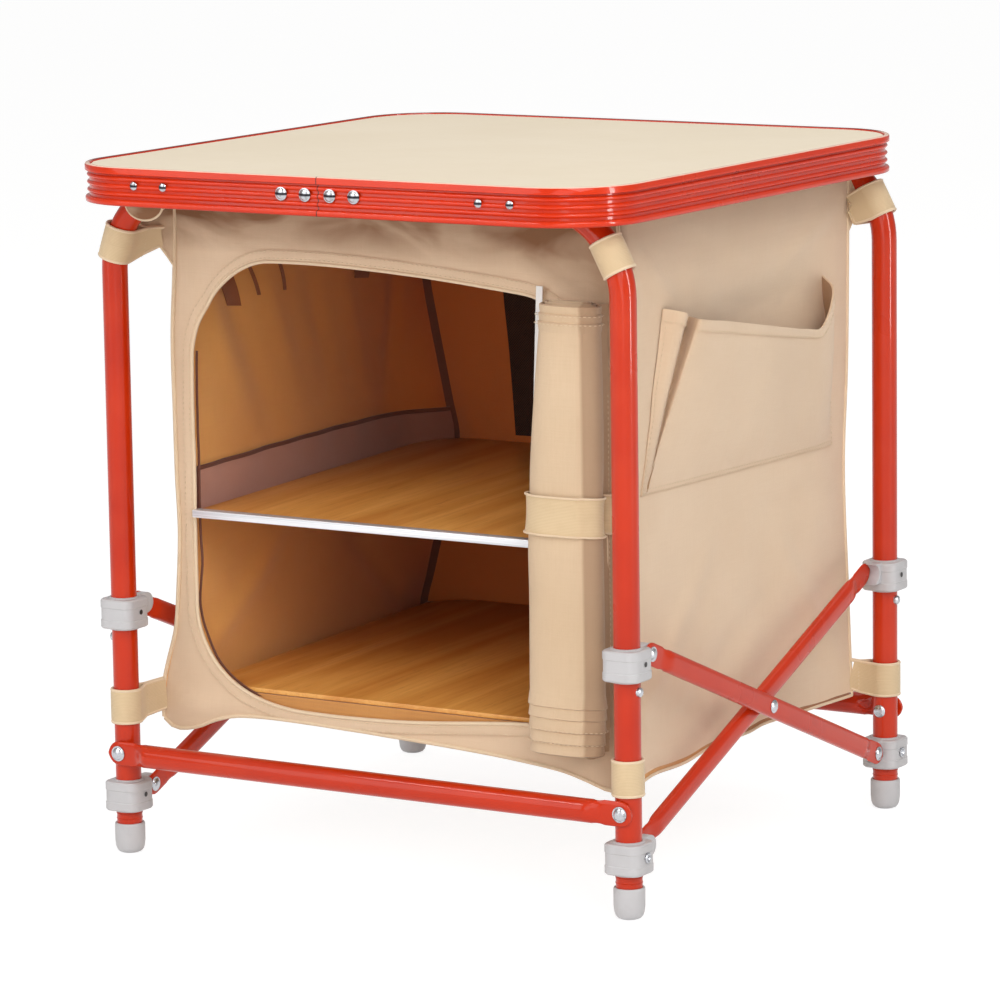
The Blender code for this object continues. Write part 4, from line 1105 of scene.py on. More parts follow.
@dataclass(frozen=True)
class TubeFrame:
    """The two bent leg frames with their crossbars, foot caps and fixed rivets."""

    palette: Palette
    leg_x: float = 0.2487
    front_y: float = -0.2113
    back_y: float = 0.2433
    radius: float = 0.011
    bottom: float = 0.0063
    bend_radius: float = 0.073
    bend_start: float = 0.5057
    bar_height: float = 0.0887
    bar_radius: float = 0.00975
    bar_offset: float = 0.0128
    tip: float = 0.0105
    ring_heights: Pair = (0.0300, 0.0345)
    cap: tuple[Pair, ...] = ((0, 0), (0.0076, 0.0), (0.0098, 0.0009), (0.0114, 0.0027), (0.0124, 0.0056),
                             (0.0130, 0.0105), (0.0131, 0.0238), (0.01295, 0.0252), (0.0125, 0.0260),
                             (0.0113, 0.0261), (0.0108, 0.0245))

    def leg(self, end: End, side: Side, height: float = 0.0) -> Vector:
        """A point on the middle line of a leg's straight part."""
        return Vector((side.value * self.leg_x, self.front_y if end is End.FRONT else self.back_y, height))

    def leg_path(self, y: float) -> list[Vector]:
        """The middle line of a leg frame from one foot to the other."""
        centre = (self.bend_radius - self.leg_x, self.bend_start)
        half = [(-self.leg_x, self.bottom), (-self.leg_x, 0.3), (-self.leg_x, self.bend_start - 0.002)]
        half += outline_arc(centre, self.bend_radius, 180, 90, 18)
        half += [(centre[0] + 0.002, self.bend_start + self.bend_radius)]
        other = [(-x, z) for x, z in reversed(half)]
        return [Vector((x, y, z)) for x, z in half + other]

    def tubes(self) -> None:
        """Both bent tubes, with the pressed rings above each foot cap."""
        low, high = self.radius - 0.0004, self.radius + 0.00035
        ring = ((low, -0.0008), (high, -0.0003), (high, 0.0003), (low, 0.0008))
        for end in End:
            shape = Shape()
            shape.tube(self.leg_path(self.leg(end, Side.LEFT).y), self.radius, 36)
            for side in Side:
                for height in self.ring_heights:
                    shape.lathe(ring, Matrix.Translation(self.leg(end, side, height)), 32)
            add_piece(f"{end.word}_leg_tube", shape, self.palette.coat, end.frame, f"{end.word}_leg_frame")

    def crossbars(self) -> None:
        """Round bars pressed flat at both ends."""
        for end in End:
            y = self.leg(end, Side.LEFT).y + end.value * self.bar_offset
            axes = Matrix(((0, 0, 1, 0), (0, 1, 0, y), (1, 0, 0, self.bar_height), (0, 0, 0, 1)))
            shape = Shape()
            frames = flattened_stations(axes, self.leg_x, self.bar_radius, self.bar_radius, self.tip)
            shape.sweep(shape.ring(28, 0.88), frames)
            add_piece(f"{end.word}_low_bar", shape, self.palette.coat, end.frame, f"{end.word}_crossbar")

    def caps_and_rivets(self) -> None:
        """Foot caps, and the domed rivets through the crossbars' flat ends."""
        for end, side in CORNERS:
            corner = f"{end.word}_{side.word}"
            cap = Shape()
            cap.lathe(self.cap, Matrix.Translation(self.leg(end, side)), 36)
            add_piece(f"foot_{corner}", cap, self.palette.plastic, end.frame, f"foot_cap_{corner}")
            rivet = Shape()
            outward = Vector((0, end.value, 0))
            seat = self.leg(end, side, self.bar_height)
            outer = seat + outward * (self.bar_offset + 0.0018)
            rivet.dome(outer, outward, 0.0056, 0.0026)
            rivet.washer(outer, outward, (0.0066, 0.0050), (0, 0.0005, 0.0006))
            rivet.dome(seat - outward * (self.radius + 0.0001), -outward, 0.0056, 0.0024)
            add_piece(f"bar_rivet_{corner}", rivet, self.palette.steel, end.frame, f"crossbar_rivet_{corner}")


def flattened_stations(
    matrix: Matrix, half: float, height: float, thickness: float, tip: float
) -> list[Matrix]:
    """Frames of a bar that is full in its middle and pressed flat and round at both ends.

    Args:
        matrix: The bar's frame, with Z along it.
        half: Half the distance between its rivets.
        height: Half its height in the middle.
        thickness: Half its thickness in the middle.
        tip: Radius of its flat ends.

    Returns:
        One frame for each station.
    """
    flat, flat_length, taper = 0.0015, 0.015, 0.018
    turns = [math.radians(value) for value in (9, 20, 34, 50, 68, 90)]
    stations = [(half + tip * math.cos(turn), tip * math.sin(turn), flat) for turn in turns]
    stations.append((half - flat_length, tip, flat))
    for step in range(1, 9):
        share = step / 8
        waist = -0.0008 * math.sin(math.pi * min(share * 1.6, 1.0))
        stations.append((half - flat_length - taper * share, tip + (height - tip) * smooth(share) + waist,
                         flat + (thickness - flat) * smooth(share)))
    stations += [(-along, up, thick) for along, up, thick in reversed(stations)]
    return [matrix @ Matrix.Translation((0, 0, along)) @ Matrix.Diagonal((up, thick, 1, 1))
            for along, up, thick in stations]


@dataclass(frozen=True)
class Braces:
    """The four scissor braces with their middle rivets."""

    palette: Palette
    leg_x: float = 0.2487
    offset: float = 0.0063
    centre_y: float = 0.0160
    centre_z: float = 0.1343
    half_length: float = 0.214365
    slope: float = 0.38108
    half_height: float = 0.009
    half_thickness: float = 0.005
    tip: float = 0.0095

    def build(self) -> None:
        """Make the four bars and the two rivets."""
        reach = self.offset + self.half_thickness + 0.0001
        for side in Side:
            for layer, sign in (("inner", -1), ("outer", 1)):
                self.bar(side, layer, sign)
            rivet = Shape()
            for way in (-1, 1):
                seat = Vector((side.value * self.leg_x + way * reach, self.centre_y, self.centre_z))
                rivet.dome(seat, (way, 0, 0), 0.0058, 0.0024)
            add_piece(f"scissor_rivet_{side.word}", rivet, self.palette.steel, f"{side.word}_inner_brace",
                      f"brace_rivet_{side.word}")

    def bar(self, side: Side, layer: str, sign: int) -> None:
        """Make one brace.

        Args:
            side: Left or right.
            layer: inner or outer.
            sign: -1 for the inner one, 1 for the outer one.
        """
        slope = -sign * self.slope
        along = Vector((0, math.cos(slope), math.sin(slope)))
        upward = Vector((0, -math.sin(slope), math.cos(slope)))
        middle = (side.value * (self.leg_x + sign * self.offset), self.centre_y, self.centre_z)
        matrix = Matrix.Translation(middle) @ Matrix((upward, (1, 0, 0), along)).transposed().to_4x4()
        shape = Shape()
        frames = flattened_stations(matrix, self.half_length, self.half_height, self.half_thickness, self.tip)
        shape.sweep(shape.ring(24, 0.72), frames)
        name = f"{side.word}_{layer}_brace"
        add_piece(f"{side.word}_{layer}_bar", shape, self.palette.coat, name, name)


@dataclass(frozen=True)
class Collars:
    """The moulded collars on the legs, their brace pins and the sprung buttons under the upper ones."""

    palette: Palette
    tubes: TubeFrame
    width: float = 0.034
    height: float = 0.026
    corner: float = 0.009
    lower_z: float = 0.0506
    upper_z: float = 0.2100
    lug_reach: float = 0.0283
    lug_radius: float = 0.009
    lug_thickness: float = 0.009
    pivot_rise: float = 0.004
    button_z: float = 0.188
    walls: tuple[Pair, ...] = (
        (0.0035, 0.0), (0.0012, 0.0003), (0.0, 0.0016), (0.0, 0.0074), (0.0005, 0.0080),
        (0.0005, 0.0180), (0.0, 0.0186), (0.0, 0.0244), (0.0012, 0.0257), (0.0035, 0.0260))
    lip: tuple[Pair, ...] = ((0.0112, -0.0002), (0.0134, -0.0002), (0.0134, 0.0006), (0.0126, 0.0011),
                             (0.0112, 0.0011))
    screw: tuple[Pair, ...] = ((0.0044, 0), (0.0044, 0.0009), (0.0036, 0.0013), (0.0026, 0.0010),
                               (0.0022, 0.0002), (0, 0.0001))
    knob: tuple[Pair, ...] = ((0, 0), (0.004, 0), (0.004, 0.0040), (0.0037, 0.0050), (0.0028, 0.0057),
                              (0.0014, 0.0060), (0, 0.0060))

    def build(self) -> None:
        """Make all eight collars and four buttons."""
        for end, side in CORNERS:
            for level in Level:
                self.collar(end, side, level)
            self.button(end, side)

    def collar(self, end: End, side: Side, level: Level) -> None:
        """Make one collar with its lug, its pin and its marks.

        Args:
            end: Front or back.
            side: Left or right.
            level: Lower or upper.
        """
        lower = level is Level.LOWER
        centre = self.tubes.leg(end, side, self.lower_z if lower else self.upper_z)
        corner = f"{end.word}_{side.word}"
        name = f"{level.word}_collar_{corner}"
        body = end.frame if lower else name
        block = self.block(centre)
        self.lug(block, centre, end)
        add_piece(f"{level.word}_block_{corner}", block, self.palette.plastic, body, name)
        facing_x = side.value * (1 if (end is End.FRONT) != lower else -1)
        pivot = centre + Vector((facing_x * 0.0081, -end.value * self.lug_reach, self.pivot_rise))
        pin = Shape()
        pin.dome(pivot, (facing_x, 0, 0), 0.0052, 0.0024)
        pin.washer(pivot, (facing_x, 0, 0), (0.0062, 0.0050), (-0.0002, 0.0004, 0.0005))
        mark = Vector((0, -end.value * 0.001, 0.0012))
        if lower:
            outer = centre + mark + Vector((side.value * (self.width / 2 - 0.0001), 0, 0))
            pin.lathe(self.screw, facing(outer, (side.value, 0, 0)))
        add_piece(f"{level.word}_pin_{corner}", pin, self.palette.steel, body)
        # Dark discs of painted shade where the collar's small holes are.
        hole = Shape()
        for way in (-side.value,) if lower else (-1, 1):
            face = centre + mark + Vector((way * (self.width / 2 + 0.00005), 0, 0))
            hole.lathe(((0.0022, 0), (0.0022, 0.0001), (0, 0.00012)), facing(face, (way, 0, 0)), 16)
        add_piece(f"{level.word}_mark_{corner}", hole, self.palette.hollow, body)

    def block(self, centre: Vector) -> Shape:
        """The collar's square ring, with a shallow waist and a lip round the tube."""
        half = self.width / 2
        levels = [(inset, up - self.height / 2) for inset, up in self.walls]
        shape = rounded_walls((half, half), self.corner, levels, 6, closed=False)
        bmesh.ops.translate(shape.bm, verts=shape.bm.verts, vec=centre)
        for way in (1, -1):
            shape.lathe(self.lip, facing(centre + UP * (way * self.height / 2), (0, 0, way)), 32)
        return shape

    def lug(self, shape: Shape, centre: Vector, end: End) -> None:
        """Add the lug that carries a brace, towards the other frame."""
        toward = -end.value
        eye = (toward * self.lug_reach, self.pivot_rise)
        outline = outline_arc(eye, self.lug_radius, -90 * toward, 90 * toward, 14)
        root = toward * (self.width / 2 - 0.003)
        outline += [(root, outline[-1][1]), (root, outline[0][1])]
        shape.plate(outline, Matrix.Translation(centre) @ SIDEWAYS, self.lug_thickness, 0.0008)

    def button(self, end: End, side: Side) -> None:
        """Make one sprung button with its leaf inside the leg."""
        shape = Shape()
        seat = self.tubes.leg(end, side, self.button_z)
        seat.x = side.value * (self.tubes.leg_x + self.tubes.radius - 0.003)
        shape.lathe(self.knob, facing(seat, (side.value, 0, 0)), 20)
        leaf = ((-0.0035, -0.034), (0.0035, -0.034), (0.0035, 0.009), (-0.0035, 0.009))
        behind = Matrix.Translation(seat - Vector((side.value * 0.0008, 0, 0)))
        shape.plate(leaf, behind @ SIDEWAYS, 0.0008, 0.0002)
        name = f"snap_button_{end.word}_{side.word}"
        add_piece(f"button_{end.word}_{side.word}", shape, self.palette.steel, name, name)


# The top


@dataclass(frozen=True)
class TableTop:
    """The laminate board in its ribbed rim, with the rivets that show outside."""

    palette: Palette
    half_x: float = 0.264
    half_y: float = 0.2755
    corner: float = 0.068
    top: float = 0.600
    bead: float = 0.0036
    wall: float = 0.0016
    lip: float = 0.0013
    band: float = 0.0068
    rim_height: float = 0.0323
    ridge: float = 0.0016
    ledge: float = 0.5909
    board_bottom: float = 0.5927
    rivet_z: float = 0.5849
    clip_x: float = 0.1675
    clip_step: float = 0.01465

    def rim_profile(self) -> list[Pair]:
        """The rim's section as (inset, height) points, from inside the lip round to it again."""
        inner, top = self.bead + self.wall, self.top
        points = [(inner - 0.0008, top - self.lip), (inner - 0.0012, top - 0.0002), (inner - 0.0022, top),
                  (0.0016, top), (0.0006, top - 0.0004), (0.0, top - 0.0014)]
        height = top - self.band
        points += [(0.0, height + 0.0010), (0.0009, height + 0.0003), (self.bead, height)]
        pitch = (self.rim_height - self.band) / 4
        crest = ((0.0010, 0.25), (0.0003, 0.36), (0.0, 0.48), (0.0003, 0.60), (0.0010, 0.72))
        for depth in (self.ridge, self.ridge, self.ridge, 0.0):
            points.append((self.bead, height - pitch * 0.16))
            points += [(depth + out, height - pitch * down) for out, down in (crest if depth else crest[:3])]
            if depth:
                points.append((self.bead, height - pitch * 0.82))
            height -= pitch
        points += [(0.0002, height + 0.0006), (0.0008, height), (inner - 0.0004, height),
                   (inner, height + 0.0006)]
        over = self.ledge + 0.0015
        points += [(inner, self.ledge), (inner + 0.011, self.ledge), (inner + 0.011, over), (inner, over)]
        return points

    def build(self) -> None:
        """Make the rim, the board and the rivets, and dress the parts underneath."""
        half = (self.half_x, self.half_y)
        rim = rounded_walls(half, self.corner, self.rim_profile(), 18, closed=True)
        add_piece("ribbed_rim", rim, self.palette.rim, "top", "table_rim", angle=50)
        inset, face = self.bead + self.wall + 0.0003, self.top - self.lip
        levels = [(inset + 0.0004, face), (inset, face - 0.0004), (inset, self.board_bottom)]
        board = rounded_walls(half, self.corner, levels, 18, closed=False)
        add_piece("laminate_board", board, self.palette.laminate, "top", "table_board")
        self.rivets()
        clips = {f"tube_clip_{end.word}_{side.word}": self.palette.plastic for end, side in CORNERS}
        for name, finish in {"rim_splice": self.palette.steel, **clips}.items():
            for slot in frame["nodes"][name].material_slots:
                slot.material = finish

    def rivets(self) -> None:
        """The four splice rivets at the front seam, and two for each tube clip."""
        face = self.half_y - self.ridge + 0.0002
        splice = Shape()
        for x in (-0.0351, -0.0120, 0.0120, 0.0351):
            seat = Vector((x, -face, self.rivet_z))
            splice.dome(seat, (0, -1, 0), 0.0047, 0.0019)
            splice.washer(seat, (0, -1, 0), (0.0056, 0.0046), (-0.0004, 0.0003, 0.0005))
        add_piece("seam_rivets", splice, self.palette.rivet, "top")
        for end in End:
            clips = Shape()
            for side in Side:
                for step in (-1, 1):
                    x = side.value * self.clip_x + step * self.clip_step
                    clips.dome(Vector((x, end.value * face, self.rivet_z)), (0, end.value, 0), 0.0036, 0.0015)
            add_piece(f"clip_rivets_{end.word}", clips, self.palette.rivet, "top")


# The fabric cupboard


@dataclass(frozen=True)
class Crease:
    """A soft ridge or valley between two places on a wall, as (along, up) in metres."""

    start: Pair
    end: Pair
    depth: float
    width: float

    def height(self, along: float, up: float) -> float:
        """How far the cloth is pushed out at a place."""
        line = Vector(self.end) - Vector(self.start)
        from_start = Vector((along, up)) - Vector(self.start)
        held = min(max(from_start.dot(line) / line.length_squared, 0.0), 1.0)
        away = (from_start - line * held).length
        return self.depth * math.exp(-((away / self.width) ** 2)) * (0.35 + 0.65 * math.sin(math.pi * held))


def wrinkle(place: Vector, seed: float, size: float = 1.0) -> float:
    """Soft unevenness of hanging cloth, in metres."""
    at = place + Vector((seed, seed * 0.7, -seed))
    waves = ((0.0026, 7), (0.0011, 19), (0.0005, 43))
    return size * sum(depth * noise.noise(at * scale) for depth, scale in waves)


@dataclass(frozen=True)
class BagForm:
    """The lines of the hanging cupboard that its panels share."""

    half: float = 0.219
    front: float = -0.165
    back: float = 0.231
    bottom: float = 0.100
    top: float = 0.565
    left_front: tuple[Pair, ...] = (
        (0.100, -0.2415), (0.116, -0.2417), (0.134, -0.2400), (0.152, -0.2353), (0.180, -0.2270),
        (0.215, -0.2233), (0.268, -0.2201), (0.320, -0.2217), (0.372, -0.2222), (0.441, -0.2225),
        (0.505, -0.2186), (0.565, -0.2168))
    right_front: tuple[Pair, ...] = (
        (0.100, 0.2230), (0.140, 0.2215), (0.220, 0.2190), (0.460, 0.2190), (0.530, 0.2200), (0.565, 0.2175))
    left_back: tuple[Pair, ...] = (
        (0.100, -0.2320), (0.149, -0.2270), (0.173, -0.2200), (0.199, -0.2130), (0.250, -0.1985),
        (0.305, -0.1880), (0.339, -0.1950), (0.367, -0.2010), (0.412, -0.2108), (0.454, -0.2187),
        (0.500, -0.2205), (0.565, -0.2210))
    right_back: tuple[Pair, ...] = (
        (0.100, 0.2215), (0.200, 0.2175), (0.305, 0.2140), (0.400, 0.2175), (0.565, 0.2195))
    hem_front: tuple[Pair, ...] = (
        (-0.243, 0.1110), (-0.2347, 0.1040), (-0.2242, 0.1020), (-0.205, 0.1058), (-0.189, 0.1126),
        (-0.163, 0.1187), (-0.101, 0.1195), (0.0, 0.1157), (0.0988, 0.1102), (0.1568, 0.1043),
        (0.1854, 0.0971), (0.200, 0.0925), (0.223, 0.0905))
    hem_left: tuple[Pair, ...] = (
        (-0.165, 0.1110), (-0.130, 0.1040), (0.0, 0.1030), (0.12, 0.1020), (0.231, 0.1010))
    hem_right: tuple[Pair, ...] = (
        (-0.165, 0.0905), (-0.1286, 0.0985), (-0.069, 0.0978), (-0.020, 0.1026), (0.046, 0.1024),
        (0.0716, 0.1046), (0.1446, 0.1024), (0.231, 0.1009))
    hem_back: tuple[Pair, ...] = (
        (-0.232, 0.1010), (-0.150, 0.1060), (0.0, 0.1080), (0.150, 0.1060), (0.2215, 0.1009))

    @property
    def depth(self) -> float:
        """Distance from the front panel to the back panel."""
        return self.back - self.front

    def share_up(self, z: float) -> float:
        """A height as a share of the bag's own."""
        return (z - self.bottom) / (self.top - self.bottom)

    def between(self, low: float, up: float) -> float:
        """The height at a share of the way from a hem to the top."""
        return low + (self.top - low) * up

    def corner(self, side: Side, end: End, up: float) -> Vector:
        """A point on an upright corner, from its bottom (0) to its top (1)."""
        line = getattr(self, f"{side.word}_{end.word}")
        y = self.front if end is End.FRONT else self.back
        x = follow(line, self.between(self.bottom, up))
        return Vector((x, y, self.between(follow(getattr(self, f"hem_{side.word}"), y), up)))

    def wall(self, side: Side, along: float, up: float, wrinkled: bool = True) -> Vector:
        """A point on a side wall.

        Args:
            side: Left or right.
            along: Share from the front (0) to the back (1).
            up: Share from the bottom (0) to the top (1).
            wrinkled: False for the wall without its folds.

        Returns:
            The point.
        """
        base = side.value * self.half
        front, back = self.corner(side, End.FRONT, up), self.corner(side, End.BACK, up)
        x = base + (front.x - base) * math.exp(-((along * self.depth / 0.062) ** 1.5))
        x += (back.x - base) * math.exp(-(((1 - along) * self.depth / 0.041) ** 2))
        y = self.front + self.depth * along
        place = Vector((x, y, self.between(follow(getattr(self, f"hem_{side.word}"), y), up)))
        if wrinkled:
            free = smooth(min(along, 1 - along) * self.depth / 0.03) * smooth((1 - up) / 0.08)
            push = wrinkle(place, 3.0 * side.value)
            push += sum(crease.height(y, place.z) for crease in WALL_CREASES[side])
            place.x += side.value * push * free * (0.35 + 0.65 * smooth(up / 0.1))
        return place

    def on_wall(self, side: Side, y: float, z: float, wrinkled: bool = True) -> Vector:
        """The point of a side wall at a depth and a height."""
        return self.wall(side, (y - self.front) / self.depth, self.share_up(z), wrinkled)


WALL_CREASES: dict[Side, tuple[Crease, ...]] = {
    Side.RIGHT: (
        Crease((-0.150, 0.545), (-0.060, 0.470), 0.0032, 0.010),
        Crease((-0.120, 0.555), (0.060, 0.500), -0.0026, 0.012),
        Crease((0.215, 0.545), (0.120, 0.500), 0.0034, 0.010),
        Crease((-0.150, 0.140), (-0.020, 0.270), 0.0028, 0.012),
        Crease((-0.110, 0.115), (0.080, 0.215), -0.0026, 0.014),
        Crease((0.215, 0.130), (0.110, 0.250), 0.0030, 0.012),
        Crease((0.020, 0.300), (0.180, 0.285), -0.0022, 0.012),
        Crease((0.020, 0.468), (0.165, 0.462), -0.0100, 0.024),
    ),
    Side.LEFT: (
        Crease((-0.150, 0.540), (-0.070, 0.380), -0.0030, 0.014),
        Crease((-0.110, 0.520), (-0.020, 0.350), 0.0028, 0.014),
        Crease((-0.040, 0.500), (0.020, 0.370), -0.0026, 0.014),
        Crease((0.030, 0.500), (0.070, 0.370), 0.0024, 0.013),
        Crease((0.090, 0.490), (0.130, 0.360), -0.0022, 0.013),
        Crease((0.190, 0.500), (0.160, 0.350), 0.0030, 0.010),
        Crease((-0.140, 0.150), (-0.010, 0.260), -0.0032, 0.012),
        Crease((0.200, 0.140), (0.080, 0.250), 0.0034, 0.012),
    ),
}


FRONT_CREASES: tuple[Crease, ...] = (
    Crease((-0.230, 0.120), (-0.150, 0.128), 0.0030, 0.009),
    Crease((-0.222, 0.556), (-0.150, 0.520), 0.0034, 0.007),
    Crease((-0.205, 0.545), (-0.185, 0.450), -0.0030, 0.007),
    Crease((-0.150, 0.548), (0.020, 0.538), -0.0026, 0.008),
    Crease((0.060, 0.550), (0.160, 0.528), 0.0030, 0.008),
    Crease((-0.236, 0.150), (-0.190, 0.135), -0.0026, 0.008),
    Crease((0.000, 0.120), (0.120, 0.122), -0.0016, 0.008),
)

WALL_TABS: tuple[tuple[Pair, Pair, Pair, Pair], ...] = (
    ((-0.1028, 0.4878), (-0.0784, 0.4868), (-0.0856, 0.4614), (-0.0657, 0.4591)),
    ((-0.0600, 0.4968), (-0.0555, 0.4968), (-0.0430, 0.4659), (-0.0390, 0.4659)),
    ((-0.0120, 0.4916), (-0.0075, 0.4916), (-0.0030, 0.4659), (0.0010, 0.4659)),
    ((0.1086, 0.4761), (0.1366, 0.4730), (0.1131, 0.4638), (0.1362, 0.4613)),
)


@dataclass(frozen=True)
class Cupboard:
    """The hanging fabric cupboard: panels, mouth, slings, netting and trimmings."""

    palette: Palette
    form: BagForm = BagForm()
    fabric: float = 0.0012
    thin: float = 0.0009
    mouth_half: float = 0.205
    mouth_low: float = 0.134
    mouth_high: float = 0.510
    mouth_radius: float = 0.080
    mouth_sill: tuple[Pair, ...] = (
        (-0.205, 0.0), (-0.150, 0.0), (-0.1, -0.006), (0.0, -0.005), (0.125, 0.005), (0.205, 0.006))
    mouth_head: tuple[Pair, ...] = (
        (-0.205, -0.004), (-0.12, 0.004), (0.0, 0.001), (0.154, -0.013), (0.205, -0.020))
    sling_top: tuple[Pair, ...] = (
        (-0.141, 0.3270), (-0.096, 0.3287), (0.014, 0.3319), (0.145, 0.3331), (0.230, 0.3319))
    net: tuple[Pair, ...] = (
        (-0.127, 0.308), (-0.027, 0.308), (-0.027, 0.503), (-0.137, 0.503), (-0.127, 0.308))
    count: int = 160
    seam_steps: int = 60
    shelf_top: float = 0.2948
    shelf_front: float = -0.171
    slope: float = math.radians(1.6)

    def shelf_z(self, y: float) -> float:
        """Height of the middle board's upper face at a depth."""
        return self.shelf_top + (y - self.shelf_front) * math.tan(self.slope)

    def mouth_point(self, share: float, grow: float = 0.0) -> Vector:
        """A point on the mouth's outline, or on one grown round it.

        Args:
            share: Share of the way round, from the lower left corner along the bottom.
            grow: Distance outside the outline.

        Returns:
            The point, on the panel's plane.
        """
        half_x, half_z = self.mouth_half, (self.mouth_high - self.mouth_low) / 2
        radius = self.mouth_radius
        side, rest = divmod(share * 4, 1)
        corners = ((-1, -1), (1, -1), (1, 1), (-1, 1))
        flat = Vector(corners[int(side) % 4]).lerp(Vector(corners[(int(side) + 1) % 4]), rest)
        x, z = flat.x * half_x, flat.y * half_z
        core = Vector((within(x, half_x - radius), within(z, half_z - radius)))
        out = Vector((x, z)) - core
        out = out.normalized() * radius if out.length > 1e-9 else Vector((0, 0))
        place = core + out * (1 + grow / radius)
        height = (self.mouth_high + self.mouth_low) / 2 + place.y
        height += follow(self.mouth_sill, place.x) * smooth(-place.y / half_z)
        height += follow(self.mouth_head, place.x) * smooth(place.y / half_z)
        lean = 0.004 * smooth(-place.x / half_x) * smooth(place.y / half_z - 0.2)
        return Vector((place.x + lean, self.form.front, height))

    def rim_point(self, share: float) -> Vector:
        """A point on the front panel's own edge, from the lower left corner along the bottom."""
        side, rest = divmod(share * 4, 1)
        at = self.form.corner
        if int(side) % 4 == 0:
            left, right = at(Side.LEFT, End.FRONT, 0).x, at(Side.RIGHT, End.FRONT, 0).x
            x = left + (right - left) * rest
            return Vector((x, self.form.front, follow(self.form.hem_front, x)))
        if side == 1:
            return at(Side.RIGHT, End.FRONT, rest)
        if side == 2:
            return at(Side.RIGHT, End.FRONT, 1).lerp(at(Side.LEFT, End.FRONT, 1), rest)
        return at(Side.LEFT, End.FRONT, 1 - rest)

    def front_push(self, place: Vector) -> float:
        """How far the front panel is pushed forwards at a place."""
        edge = min(place.x + self.form.half, self.form.half - place.x, self.form.top - place.z) / 0.02
        push = wrinkle(place, 9.0, 0.7) * smooth(edge)
        return push + sum(crease.height(place.x, place.z) for crease in FRONT_CREASES)

    def front_panel(self) -> None:
        """The front panel: its outer edge bridged to the mouth, then subdivided and creased."""
        shape = Shape()
        outer, inner = shape.ring(self.count), shape.ring(self.count)
        for index in range(self.count):
            outer[index].co = self.rim_point(index / self.count)
            inner[index].co = self.mouth_point(index / self.count)
        bmesh.ops.bridge_loops(shape.bm, edges=[*shape.ring_edges(outer), *shape.ring_edges(inner)])
        edge, rims = set(outer), set(outer) | set(inner)
        spokes = [item for item in shape.bm.edges
                  if len(set(item.verts) & edge) == 1 and set(item.verts) <= rims]
        bmesh.ops.subdivide_edges(shape.bm, edges=spokes, cuts=7, use_grid_fill=True)
        for vert in shape.bm.verts:
            vert[shape.along], vert[shape.girth] = vert.co.x, vert.co.z
            vert.co.y -= self.front_push(vert.co)
        shape.lay_pattern(list(shape.bm.faces))
        shape.face_towards((0, -1, 0))
        area = shape.area()
        panel = add_piece("front_cloth", shape, self.palette.canvas, node="bag_front_panel",
                          thickness=self.fabric, back=self.palette.lining)

    def mouth_trim(self) -> None:
        """The mouth's hem with its bead, a dark cord of painted shade inside its left edge, and two rows of
        stitches.
        """
        def on_panel(share: float, grow: float, lift: float) -> Vector:
            """A point beside the mouth, a little in front of the panel."""
            place = self.mouth_point(share, grow)
            place.y -= self.front_push(place) + lift
            return place

        def hem(along: float, up: float) -> Vector:
            """A point of the hem."""
            return on_panel(along, 0.0002 + 0.0095 * up, 0.0008 + 0.0004 * math.sin(math.pi * up))

        steps = 4 * self.seam_steps
        shares = [step / steps for step in range(steps + 1)]
        add_cloth("mouth_hem", (steps, 5), hem, (1.32, 0.011), (0, -1, 0), self.palette.canvas,
                  thickness=self.thin)
        bead = [on_panel(share, -0.0004, 0.0004) for share in shares]
        add_cords("mouth_bead", [(bead, 0.0017)], self.palette.piping, 10)
        # Painted shade: a dark cord down the mouth's left side for the shaded gap between hem and wall.
        line = []
        for step in range(int(steps * 0.80), int(steps * 1.05)):
            place = on_panel(step / steps % 1.0, -0.0014, -0.0050)
            sway = noise.noise(place * 30) * 0.0026 * smooth((0.30 - place.z) / 0.05 + 0.25)
            line.append(place + Vector((sway, 0, 0)))
        add_cords("mouth_inner_binding", [(line, 0.0012)], self.palette.binding, 6)
        rows = [[on_panel(share, grow, 0.0013) for share in shares] for grow in (0.0025, 0.0085)]
        add_stitches("mouth_stitches", rows, self.palette.thread)

    def side_wall(self, side: Side) -> None:
        """A side wall with its outer face in canvas and its inner face in the inside colour, painted with
        light and shade.
        """
        wall = add_cloth(f"{side.word}_cloth", (72, 80), lambda s, t: self.form.wall(side, s, t),
                         (0.396, 0.465), (side.value, 0, 0), self.palette.canvas,
                         node=f"bag_{side.word}_wall", thickness=self.fabric, squash=FOLDING,
                         back=self.palette.lining)
        sewn_on = [f"{side.word}_hem_piping", *(["wall_tabs"] if side is Side.LEFT else [])]

    def back_point(self, along: float, up: float) -> Vector:
        """A point on the back panel, from left (0) to right (1)."""
        form = self.form
        left, right = form.corner(Side.LEFT, End.BACK, up), form.corner(Side.RIGHT, End.BACK, up)
        x = -form.half + 2 * form.half * along
        x += (left.x + form.half) * (1 - along) ** 6 + (right.x - form.half) * along ** 6
        place = Vector((x, form.back, form.between(follow(form.hem_back, x), up)))
        free = smooth(min(along, 1 - along) / 0.08) * smooth((1 - up) / 0.08)
        push = wrinkle(place, 21.0) - 0.003 * math.exp(-((place.z - self.shelf_z(0.23)) / 0.03) ** 2)
        place.y += min(push * free, 0.0010)
        return place

    def on_back(self, x: float, z: float, gap: float) -> Vector:
        """A point on the back panel at a width and height, a little behind or in front of it."""
        along = (x + self.form.half) / (2 * self.form.half)
        return self.back_point(along, self.form.share_up(z)) + Vector((0, gap, 0))

    def back_panel(self) -> None:
        """The back panel, with the dark netting let in at its left."""
        panel = add_cloth("back_cloth", (72, 76), self.back_point, (0.438, 0.465), (0, 1, 0),
                          self.palette.canvas, body="back_frame", node="bag_back_panel",
                          thickness=self.fabric, back=self.palette.lining)
        (left, low), _, (_, high), _, _ = self.net
        for name, gap in (("netting_inside", -0.0018), ("netting_outside", 0.0006)):
            def place(s: float, t: float, gap: float = gap) -> Vector:
                """A point of the netting."""
                return self.on_back(left + 0.100 * s - 0.010 * t * (1 - s), low + (high - low) * t, gap)

